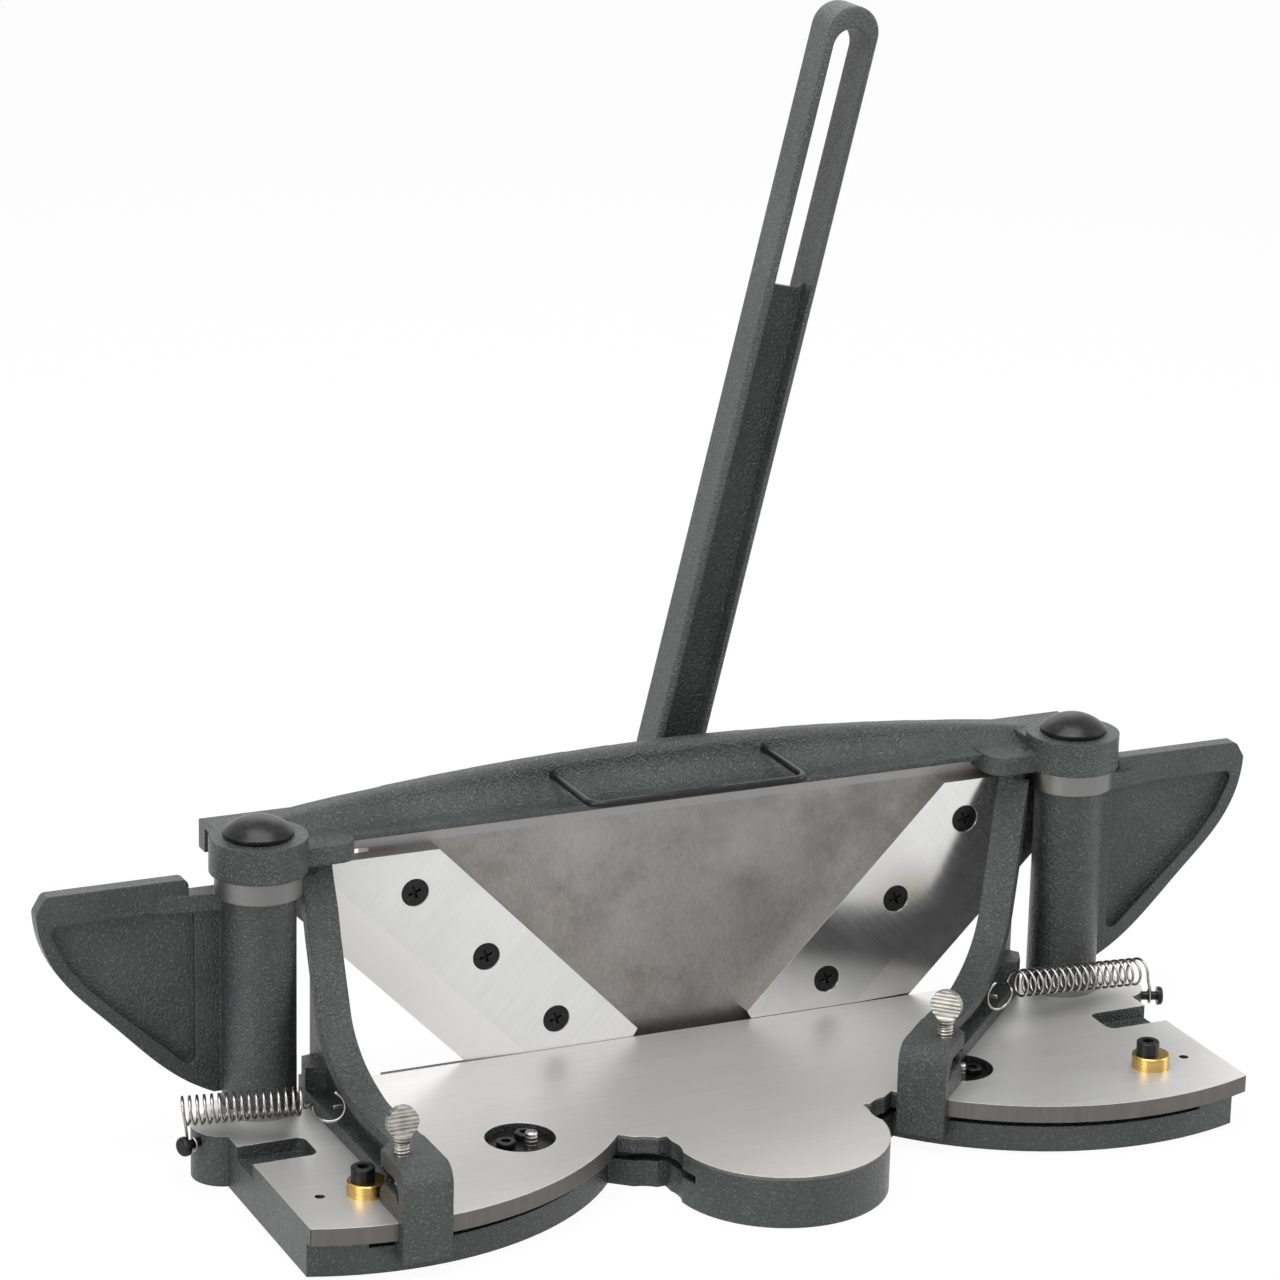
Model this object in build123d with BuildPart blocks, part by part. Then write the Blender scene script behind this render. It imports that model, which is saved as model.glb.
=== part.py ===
from build123d import *
import os
from math import atan2, cos, hypot, pi, radians, sin, sqrt, tan

# A mitre guillotine: two slanting knives on one sliding carriage, driven by a hand lever,
# trim moulding held against two swinging fence arms on a ground table.
# Millimetres. X runs along the carriage, -Y towards the user, Z up from the base underside.
# Origin: the underside, midway between the two posts.

# ---- driving dimensions -------------------------------------------------------------------
TABLE_Z = 22.5          # ground table over the underside
RIM = 7.5               # thickness of the ground rim
HOOK_GAP = 3.5          # groove under the rim that the arm feet hook into
BASE_HALF = 216.0       # half width of the table
POST_X = BASE_HALF - 23.0           # post axes each side of the middle
PIVOT_X = POST_X - 24.0             # arm pivots
PIVOT_Y = 3.5
TABLE_BACK = 13.0       # rear edge of the table, along which the knives shear
RIM_R = 135.9           # table front edge, about each arm pivot
RAIL_TOP = 137.0        # top of the carriage's guide rail
REST_SHIFT = 14.7       # carriage stands this far to +X, as photographed
LEVER_REACH = 426.0     # lever pivot to tip
MITRE = 45.0            # swing of the right arm; the left one stands square

# ---- clearances ---------------------------------------------------------------------------
RUN = 0.05              # turning and sliding fits, on the radius or on one face
SLIDE = 0.1             # guide faces of the carriage, each side
CLEAR = 0.3             # faces that pass each other
LIFT = 0.2              # arms ride this far over the table

# ---- table and base -----------------------------------------------------------------------
LOBE_Y, LOBE_R = -105.5, 46.5       # round front lobe between the arcs
NOTCH_X, NOTCH_Y, NOTCH_R = PIVOT_X - 108.5, -103.0, 15.5
WALL_BACK = 4.0         # casting set back under the arcs
HOOK_IN = 10.0          # depth of the hook groove from the rim
GROOVE_FROM, GROOVE_TO = -10.0, 52.0
NOTCH_TO = 50.5         # the arcs run on to here, in degrees, beyond the mitred foot
FACE_CUT = 5.0          # right side set back under the rim
CORNER_R = 12.0
EAR_X, EAR_Y, EAR_R = BASE_HALF - 3.0, -12.0, 14.0
POCKET_IN, POCKET_Y0, POCKET_Y1 = BASE_HALF - 29.0, -56.0, -37.0
POCKET_DEEP, POCKET_LONG = 6.0, 50.0
BENCH_X, BENCH_Y, BENCH_R = BASE_HALF - 13.0, -46.5, 4.5
DOWEL_X, DOWEL_Y, DOWEL_R = BASE_HALF - 14.6, -95.7, 2.1
RECESS_X, RECESS_Y, RECESS_R, RECESS_DEEP = PIVOT_X - 65.7, -70.6, 15.0, 6.0
WAY_HALF, WAY_TOP, WAY_BACK = 122.0, 10.5, 42.0
TAIL_HALF, TAIL_BACK = 40.0, 92.0
LOBE_ROOT = 91.8        # front of the plate between the arcs
PLATE_SPOTS = [(109.8, -70.9), (99.1, -64.9)]       # screws of the recessed discs
PLATE_TOP = TABLE_Z - RECESS_DEEP + 2.7
NUT_POCKET_R, NUT_POCKET_H = 12.0, 9.0

# ---- carriage -----------------------------------------------------------------------------
BLADE_T = 8.0
PLATE_T = 12.0
KNIFE_Y = TABLE_BACK + CLEAR        # front face of the knives
PLATE_Y0 = KNIFE_Y + BLADE_T        # front face of the carriage plate
PLATE_Y1 = PLATE_Y0 + PLATE_T
RAIL_HALF = POST_X - 3.0
RAIL_LOW = 124.0        # underside of the guide rail
TONGUE_FOOT = 4.0       # underside of the carriage tongue
TONGUE_HALF = 56.0
PLATE_HALF, PLATE_SIDE = 150.7, 105.0   # upright ends of the plate, from here up to the rail
PLATE_LEAN = 68.2       # where its slanting sides would meet the table line
BLADE_LOW, BLADE_TOP = 20.5, 122.1
EDGE_LOW_X = 106.4      # outer, cutting corner at the knife's foot
BLADE_SCREWS = [(65.8, 36.2), (99.2, 69.9), (132.4, 103.7)]

# ---- rack, sector and lever ---------------------------------------------------------------
MODULE = 3.0
WHEEL_TEETH = 42        # teeth of the full circle that the sector is cut from
SECTOR_SIDE = 7         # teeth each side of the lever's line
SECTOR_SPOTS = [(0, 27), (0, 47)]   # screws that hold it to the lever
RACK_TEETH = 16
BACKLASH = 0.3
PRESSURE = radians(20)
PIVOT_Z = 52.0          # lever pivot over the underside
PITCH_R = MODULE * WHEEL_TEETH / 2
RACK_Z = PIVOT_Z + PITCH_R
GEAR_Y0, GEAR_Y1 = 34.3, 46.0
LEVER_Y0, LEVER_Y1 = 48.0, 68.0
LEVER_W = 24.0
LEVER_RIM, LEVER_WEB = 3.0, 4.0     # flanges down both edges, and the web between them
SLOT_FROM, SLOT_TO = 301.0, 416.5   # the open slot near the tip
CHANNEL_FROM = 62.0     # channels down both faces start here
STUD_R = 8.0
BUSH_R = 11.0
HUB_R = 16.0
BRACKET_Y0, BRACKET_Y1, BRACKET_T = 66.5, 78.0, 9.5
BRACKET_SPOTS = [(x, y) for x in (-20, 20) for y in (60, 84.5)]
PITCH = MODULE * pi
TIP, ROOT = MODULE, 1.25 * MODULE
RACK_TOP, RACK_SEAT = 125.5, 3.3    # top of the bar, and the depth of its screw seats
RACK_SPOTS = [(side * PITCH * (k + 0.5), 122.1) for side in (-1, 1) for k in (1, 4, 7)]
TILT = REST_SHIFT / PITCH_R

# ---- beam ---------------------------------------------------------------------------------
CAP_R = 20.8
CAP_Z0, CAP_Z1 = 128.8, 144.0
FLANGE_Z = 134.0        # underside of the beam's front flange
FLANGE_T = 2.5
FLANGE_Y = 5.0
HOLLOW_R = 12.0         # hollow of the beam's front face
WEB_Y0, WEB_Y1 = 23.0, 33.0
ARCH_MID, ARCH_END, ARCH_HALF = 153.4, 141.0, POST_X - 10.0
SKIRT_Y1, SKIRT_Z, SKIRT_TOP = 41.0, 126.5, 142.0
BEAM_HALF = POST_X + 12.0
LUG_Z = CAP_Z0          # underside of the lugs over the arm pivots
LUG_TOP = 137.0
WIRE_X, WIRE_Z, WIRE_R = 50.5, 145.5, 1.7
WIRE_FRONT, WIRE_BEND, WIRE_IN = -20.0, 6.0, 6.0

# ---- posts --------------------------------------------------------------------------------
TUBE_R = 15.8
BORE_R = 6.1
RING_R, RING_Z = 18.5, 119.0
FOOT_RING_R, FOOT_RING_H = 17.0, 4.0
GUARD_BACK = 12.9       # rear face of the wing guards, just clear of the knives
GUARD_FRONT, GUARD_WEB = 6.0, 9.5
GUARD_TOP, GUSSET_Z = 126.1, 112.0

# ---- screw sizes, on the thread ---------------------------------------------------------------
PLATE_SCREW, STOP_SCREW, BRACKET_SCREW, RACK_SCREW = 5.0, 6.0, 6.0, 3.0

# ---- fence arms, drawn about their pivot: u towards the work, a outwards from the pivot ----
FENCE_U = 9.0           # fence face
OUTER_U = -5.0          # outer face of the flange
WEB_U = 3.0             # outer face of the web between the flanges
FOOT_U = -12.4
ARM_TOP = LUG_Z - CLEAR
ARM_FOOT = TABLE_Z + LIFT
FOOT_END = 140.4
FOOT_LOW = 6.1
FOOT_TOP = 46.2
HUB_H = 16.0
NOSE_R, NOSE_U = 9.0, -2.0          # round nose about the pivot, and its outer face
THUMB_U, THUMB_A = -6.0, 122.0      # thumb screw in the foot
THUMB_R, THUMB_T, THUMB_Z = 6.8, 3.2, 60.2
SHOE_H = 10.0
PIN_R = 3.0
STOP_X, STOP_Y, STOP_R, STOP_H = POST_X - 10.5, -99.3, 8.25, 6.0
STOP_OFF = 1.8          # eccentricity of the stops
PIN_SPOT = (100.7, -76.2)           # angle pins, against the outer face of a mitred arm
ANGLE_PIN_R, ANGLE_PIN_H = 2.7, 5.0
SPRING_R, SPRING_WIRE, SPRING_TURNS = 5.8, 0.6, 16
HOOK_R, END_RING_R = 3.0, 6.7
STUD_Z = 18.5           # spring studs in the sides of the base
STUD_TURN = radians(22)
STUD_IN, STUD_WIRE = 6.0, 2.0       # its buried end from the ear's middle, and its radius
HOOK_OUT = 17.5         # hook of the spring, from the middle of the base's ear
PIN_A, PIN_Z, PIN_OUT = 49.5, 37.8, -8.0    # spring pin of the arm


def upright(y):
    """Upright plane at y, seen from the front; extrusions run towards the user."""
    return Plane.XZ.offset(-y)


def grouped(*pieces):
    """Several separate solids of one kind, as one node."""
    return Compound([solid for piece in pieces for solid in piece.solids()])


def cap_screw(seat, size, grip, up=(0, 0, 1), low=False):
    """Socket cap screw: `seat` is the middle of the face under its head."""
    head_h = size * (0.6 if low else 1.0)
    with BuildPart() as screw:
        with BuildSketch(Plane(seat, z_dir=up)):
            Circle(size * 0.83)
        extrude(amount=head_h)
        chamfer(screw.faces().sort_by(Axis(seat, up))[-1].edges(), size * 0.07)
        with BuildSketch(Plane(seat, z_dir=up).offset(head_h)):
            RegularPolygon(size * 0.45, 6)
        extrude(amount=-head_h * 0.5, mode=Mode.SUBTRACT)
        with BuildSketch(Plane(seat, z_dir=up)):
            Circle(size / 2)
        extrude(amount=-grip)
    return screw.part


def ring_sector(side, inner, outer, start, end):
    """Flat piece of a ring about an arm pivot, from straight ahead towards the middle."""
    with BuildSketch(Plane.XY, mode=Mode.PRIVATE) as sector:
        with Locations((side * PIVOT_X, PIVOT_Y)):
            Circle(outer)
            Circle(inner, mode=Mode.SUBTRACT)
        with BuildLine():
            fan = [(side * PIVOT_X, PIVOT_Y)]
            for share in (0, 1 / 3, 2 / 3, 1):
                angle = radians(start + (end - start) * share)
                fan.append((side * (PIVOT_X - 2 * outer * sin(angle)), PIVOT_Y - 2 * outer * cos(angle)))
            Polyline(*fan, close=True)
        make_face(mode=Mode.INTERSECT)
    return sector.sketch


def post_with_guard(side):
    """Tube, machined rings and the winged knife guard of one casting."""
    x = side * POST_X
    top = RING_Z + 0.5
    shoulder = (POST_X + 28.5, GUARD_TOP)
    tip, foot = (POST_X + 94.2, 118.9), (POST_X + 18, 29.5)
    edge = [(POST_X + 85.6, 91.7), (POST_X + 62.8, 66.4), (POST_X + 32, 37.5)]
    hollow = [(POST_X + 26, 112.7), (POST_X + 88.5, 112.7), (POST_X + 87, 107), (POST_X + 81, 94.5),
              (POST_X + 72.5, 83.5), (POST_X + 59.3, 70.8), (POST_X + 46.3, 59), (POST_X + 26, 40)]
    with BuildPart() as post:
        with BuildSketch(Plane.XY.offset(TABLE_Z)):
            with Locations((x, 0)):
                Circle(TUBE_R)
        extrude(amount=RING_Z - TABLE_Z)
        with BuildSketch(Plane.XY.offset(TABLE_Z)):
            with Locations((x, 0)):
                Circle(FOOT_RING_R)
        extrude(amount=FOOT_RING_H)
        with BuildSketch(Plane.XY.offset(RING_Z)):
            with Locations((x, 0)):
                Circle(RING_R)
        extrude(amount=CAP_Z0 - RING_Z)
        with BuildSketch(upright(GUARD_BACK)):
            with BuildLine():
                Polyline(*[(side * px, pz) for px, pz in [
                    foot, (POST_X + 3, foot[1]), (POST_X + 3, top), (POST_X + 28.5, top), shoulder,
                    (POST_X + 90, GUARD_TOP), tip]])
                Spline(*[(side * px, pz) for px, pz in [tip, *edge, foot]])
            make_face()
        extrude(amount=GUARD_BACK - GUARD_FRONT)
        corners = post.edges().filter_by(Axis.Y).filter_by(
            lambda corner: abs(corner.center().X) > POST_X + 25 and corner.center().Z > 118.5
            and abs(corner.center().Z - top) > 0.1)
        fillet(corners, 3)
        with BuildSketch(upright(GUARD_WEB)):
            with BuildLine():
                Polyline(*[(side * px, pz) for px, pz in hollow], close=True)
            make_face()
            fillet(vertices(), 3)
        extrude(amount=GUARD_WEB, mode=Mode.SUBTRACT)
        # gusset from the tube to the guard, fading out along it
        with BuildSketch(Plane.XY.offset(GUSSET_Z)):
            with BuildLine():
                Polyline((side * (POST_X + 8), GUARD_BACK), (side * (POST_X + 8), 2),
                         (side * (POST_X + 15), 2), (side * (POST_X + 45), GUARD_FRONT + 0.5),
                         (side * (POST_X + 45), GUARD_WEB), close=True)
            make_face()
        extrude(amount=top - GUSSET_Z)
        # flat back, behind which the knives pass
        with BuildSketch(Plane.XY):
            with Locations((x, GUARD_BACK + 15)):
                Rectangle(60, 30)
        extrude(amount=CAP_Z1, mode=Mode.SUBTRACT)
        with BuildSketch(Plane.XY):
            with Locations((x, 0)):
                Circle(BORE_R)
        extrude(amount=CAP_Z1, mode=Mode.SUBTRACT)
    return post.part


def fence_arm():
    """The square-standing left arm; the other is its mirror image, swung to the mitre."""
    px, py = -PIVOT_X, PIVOT_Y
    back = Plane((px, py, 0), x_dir=(0, -1, 0), z_dir=(-1, 0, 0))   # a across, z up
    with BuildPart() as arm:
        with BuildSketch(back.offset(-FENCE_U)):
            with BuildLine():
                start = Line((-NOSE_R, ARM_FOOT), (-NOSE_R, ARM_TOP))
                top = Line(start @ 1, (1.5, ARM_TOP))
                Polyline(top @ 1, (4.2, 121), (9.8, 108.6), (12.7, 98.9), (17.5, 86.4), (25, 67.8))
                dip = Spline((25, 67.8), (32.6, 57.7), (47.6, 49.2), (62.7, 45.2), (80, 44.2),
                             tangents=[(0.38, -0.92), (1, 0)])
                rise = Line(dip @ 1, (106, 45.6))
                Polyline(rise @ 1, (125, FOOT_TOP), (FOOT_END, FOOT_TOP), (FOOT_END, ARM_FOOT),
                         (-NOSE_R, ARM_FOOT))
            make_face()
        extrude(amount=FENCE_U - OUTER_U)
        # round nose about the pivot, thinner on the outer side
        with BuildSketch(Plane.XY.offset(ARM_FOOT)):
            with Locations((px, py)):
                Circle(NOSE_R)
            with Locations((px + (FENCE_U + OUTER_U) / 2, py - FOOT_END / 2)):
                Rectangle(FENCE_U - OUTER_U, FOOT_END)
        extrude(amount=ARM_TOP, mode=Mode.INTERSECT)
        with BuildSketch(Plane.XY.offset(ARM_FOOT)):
            with Locations((px + NOSE_U - NOSE_R, py + 7)):
                Rectangle(2 * NOSE_R, 20)
        extrude(amount=ARM_TOP, mode=Mode.SUBTRACT)
        # web recessed on the outer side behind the front flange
        with BuildSketch(back.offset(-WEB_U)):
            with BuildLine():
                low = ARM_FOOT + 6
                web = Polyline((-2 * NOSE_R, low), (-2 * NOSE_R, 113), (1.5, 113), (4.6, 106),
                               (7.4, 97.0), (12.3, 84.0), (19.8, 65.4))
                curve = Spline(web @ 1, (28.6, 53.8), (45.4, 44.6), (61.7, 40.5), (80, 39.5),
                               tangents=[(0.38, -0.92), (1, 0)])
                Polyline(curve @ 1, (108, 41), (108, low), (-2 * NOSE_R, low))
            make_face()
        extrude(amount=WEB_U - OUTER_U, mode=Mode.SUBTRACT)
        # hub round the lower pin
        with BuildSketch(Plane.XY.offset(ARM_FOOT)):
            with BuildLine():
                Polyline((px + WEB_U, py + 6), (px + NOSE_U, py + 5), (px + OUTER_U, py - 3),
                         (px + OUTER_U, py - 8), (px + WEB_U, py - 12), close=True)
            make_face()
        extrude(amount=HUB_H)
        # foot block with the thumb-screw boss
        with BuildSketch(Plane.XY.offset(FOOT_LOW)):
            with BuildLine():
                Polyline((px + FENCE_U, py - 107.5), (px + OUTER_U, py - 107.5), (px + FOOT_U, py - 115),
                         (px + FOOT_U, py - FOOT_END), (px + FENCE_U, py - FOOT_END), close=True)
            make_face()
        extrude(amount=FOOT_TOP - FOOT_LOW)
        crown = arm.edges().filter_by(Axis.X).group_by(Axis.Y)[0].sort_by(Axis.Z)[-1]
        fillet(crown, 8)
        # it clears the table rim, and hooks under it
        for radius, low, high in ((RIM_R + CLEAR, TABLE_Z - RIM - CLEAR, ARM_FOOT),
                                  (RIM_R - WALL_BACK + CLEAR * 2, 0, TABLE_Z - RIM - CLEAR)):
            with BuildSketch(Plane.XY.offset(low)):
                with Locations((px, py)):
                    Circle(radius)
            extrude(amount=high - low, mode=Mode.SUBTRACT)
        with BuildSketch(Plane.XY.offset(TABLE_Z - RIM - HOOK_GAP + CLEAR)):
            with Locations((px, py)):
                Circle(RIM_R + 2)
                Circle(RIM_R - HOOK_IN + 1, mode=Mode.SUBTRACT)
            with Locations((px + (FENCE_U + FOOT_U) / 2, py - 128)):
                Rectangle(FENCE_U - FOOT_U, 24, mode=Mode.INTERSECT)
        extrude(amount=HOOK_GAP - 2 * CLEAR)
        # side cavity of the foot, over the clamp shoe
        with BuildSketch(back.offset(-FOOT_U)):
            with BuildLine():
                Polyline((112, ARM_FOOT), (112, ARM_FOOT + 12), (117, ARM_FOOT + 17),
                         (131, ARM_FOOT + 17), (135, ARM_FOOT + 12), (135, ARM_FOOT), close=True)
            make_face()
        extrude(amount=FOOT_U + 4, mode=Mode.SUBTRACT)
        # groove that passes over the raised angle pin, open to the web's recess
        sweep_r = hypot(PIVOT_X - PIN_SPOT[0], PIVOT_Y - PIN_SPOT[1])
        with BuildSketch(Plane.XY.offset(ARM_FOOT)):
            with Locations((px, py)):
                Circle(sweep_r + ANGLE_PIN_R + 2 * CLEAR)
                Circle(sweep_r - ANGLE_PIN_R - 2 * CLEAR, mode=Mode.SUBTRACT)
        extrude(amount=TABLE_Z + ANGLE_PIN_H + CLEAR - ARM_FOOT, mode=Mode.SUBTRACT)
        # hollowed to pass the post and its rings while it swings
        for low, high, radius in ((0, RING_Z - CLEAR, FOOT_RING_R + CLEAR),
                                  (RING_Z - CLEAR, CAP_Z0, RING_R + CLEAR)):
            with BuildSketch(Plane.XY.offset(low)):
                for swing in (0, 15, 30, 45):
                    start = atan2(-PIVOT_Y, PIVOT_X - POST_X) - radians(swing)
                    reach = hypot(POST_X - PIVOT_X, PIVOT_Y)
                    with Locations((px + reach * cos(start), py + reach * sin(start))):
                        Circle(radius)
            extrude(amount=high - low, mode=Mode.SUBTRACT)
        # pivot sockets, thumb-screw thread, spring hole
        with BuildSketch(Plane.XY):
            with Locations((px, py)):
                Circle(PIN_R + RUN)
        extrude(amount=ARM_FOOT + 12, mode=Mode.SUBTRACT)
        with BuildSketch(Plane.XY.offset(ARM_TOP)):
            with Locations((px, py)):
                Circle(PIN_R + RUN)
        extrude(amount=-10, mode=Mode.SUBTRACT)
        with BuildSketch(Plane.XY.offset(FOOT_TOP)):
            with Locations((px + THUMB_U, py - THUMB_A)):
                Circle(3 + RUN)
        extrude(amount=-20, mode=Mode.SUBTRACT)
        with BuildSketch(back.offset(-WEB_U - 3)):
            with Locations((PIN_A, PIN_Z)):
                Circle(0.8)
        extrude(amount=WEB_U - OUTER_U + 3, mode=Mode.SUBTRACT)
    return arm.part


def clamp_shoe():
    """Loose shoe in the foot's cavity, pressed on the table by the thumb screw."""
    px, py = -PIVOT_X, PIVOT_Y
    back = Plane((px, py, 0), x_dir=(0, -1, 0), z_dir=(-1, 0, 0))
    with BuildPart() as shoe:
        with BuildSketch(back.offset(-FOOT_U - 0.6)):
            with BuildLine():
                Polyline((112.4, ARM_FOOT), (112.4, ARM_FOOT + 5), (117, ARM_FOOT + SHOE_H),
                         (130, ARM_FOOT + SHOE_H), (134.6, ARM_FOOT + 4), (134.6, ARM_FOOT), close=True)
            make_face()
        extrude(amount=FOOT_U + 4 + 1.2)
    return shoe.part


def thumb_screw():
    """Thread, flared neck and an upright grooved disc head."""
    at = (-PIVOT_X + THUMB_U, PIVOT_Y - THUMB_A)
    foot = ARM_FOOT + SHOE_H + RUN
    with BuildPart() as thumb:
        with BuildSketch(Plane.XY.offset(foot)):
            with Locations(at):
                Circle(3)
        extrude(amount=THUMB_Z - THUMB_R - foot)
        with BuildSketch(Plane.XY.offset(THUMB_Z - THUMB_R - 3)):
            with Locations(at):
                Circle(3)
        with BuildSketch(Plane.XY.offset(THUMB_Z - THUMB_R + 1)):
            with Locations(at):
                Circle(4.2)
        loft()
        disc = Plane((at[0], at[1] - THUMB_T / 2, THUMB_Z), x_dir=(1, 0, 0), z_dir=(0, -1, 0))
        with BuildSketch(disc):
            Circle(THUMB_R)
        extrude(amount=-THUMB_T)
        with BuildSketch(disc):
            with GridLocations(0, 2.6, 1, 3):
                Rectangle(2 * THUMB_R - 2, 0.7)
        extrude(amount=-0.4, mode=Mode.SUBTRACT)
    return thumb.part


def brass_stop(x, screw_x):
    """Eccentric stop disc turning on its cap screw."""
    with BuildPart() as stop:
        with BuildSketch(Plane.XY.offset(TABLE_Z)):
            with Locations((x, STOP_Y)):
                Circle(STOP_R)
            with Locations((screw_x, STOP_Y)):
                Circle(STOP_SCREW / 2 + RUN, mode=Mode.SUBTRACT)
        extrude(amount=STOP_H)
        chamfer(stop.faces().sort_by(Axis.Z)[-1].edges().sort_by(SortBy.LENGTH)[-1:], 0.5)
    return stop.part


def biarc(start, start_dir, end, end_dir):
    """Two arcs that leave `start` along start_dir and reach `end` along end_dir."""
    gap = end - start
    both = start_dir + end_dir
    a = 2 * (start_dir.dot(end_dir) - 1)
    b = -2 * gap.dot(both)
    c = gap.dot(gap)
    if abs(a) < 1e-9:
        reach = -c / b
    else:
        reach = (-b - sqrt(b * b - 4 * a * c)) / (2 * a)
    middle = (start + start_dir * reach + end - end_dir * reach) * 0.5
    return [TangentArc(start, middle, tangent=start_dir),
            TangentArc(end, middle, tangent=end_dir * -1)]


def spring(stud, stud_dir, coil_start, coil_end, ring):
    """Extension spring: hook round the stud, coil, then an end ring about the arm's pin."""
    up = Vector(0, 0, 1)
    along = (coil_end - coil_start).normalized()
    level = Vector(along.X, along.Y, 0).normalized()
    across = Vector(-level.Y, level.X, 0)
    over = along.cross(across)
    hook_x = Vector(-stud_dir.Y, stud_dir.X, 0).normalized()
    hook_x = hook_x if hook_x.dot(across) > 0 else hook_x * -1
    knots = []
    for degree in (-270, -180, -90, 0):
        turn = radians(degree)
        knots.append((stud + (hook_x * cos(turn) + up * sin(turn)) * HOOK_R,
                      up * cos(turn) - hook_x * sin(turn)))
    quarters = 4 * SPRING_TURNS + 2
    pitch = (coil_end - coil_start).length / quarters * 4
    for step in range(quarters + 1):
        turn = step * pi / 2
        place = coil_start + along * (pitch * step / 4)
        knots.append((place + (across * cos(turn) + over * sin(turn)) * SPRING_R,
                      ((over * cos(turn) - across * sin(turn)) * SPRING_R
                       + along * (pitch / (2 * pi))).normalized()))
    for degree in (180, 270, 360, 430):
        turn = radians(degree)
        knots.append((ring + (level * cos(turn) + up * sin(turn)) * END_RING_R,
                      up * cos(turn) - level * sin(turn)))
    first, last = knots[0], knots[-1]
    lines = [Line(first[0] - first[1] * 2 * SPRING_WIRE, first[0])]
    for (p0, t0), (p1, t1) in zip(knots, knots[1:]):
        lines += biarc(p0, t0, p1, t1)
    lines.append(Line(last[0], last[0] + last[1] * 2 * SPRING_WIRE))
    path = Wire([line.edge() for line in lines])
    section = Plane(path @ 0, z_dir=path % 0) * RegularPolygon(SPRING_WIRE, 6)
    coil = sweep(section, path=path)
    count = 12 * quarters
    points = [path @ (i / count) for i in range(count + 1)]
    apart = int(pi * SPRING_R / (path.length / count))
    least = min((points[i] - points[j]).length for i in range(count + 1)
                for j in range(i + apart, count + 1))
    print("spring: least gap to itself", round(least - 2 * SPRING_WIRE, 2), "mm")
    return coil


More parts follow.
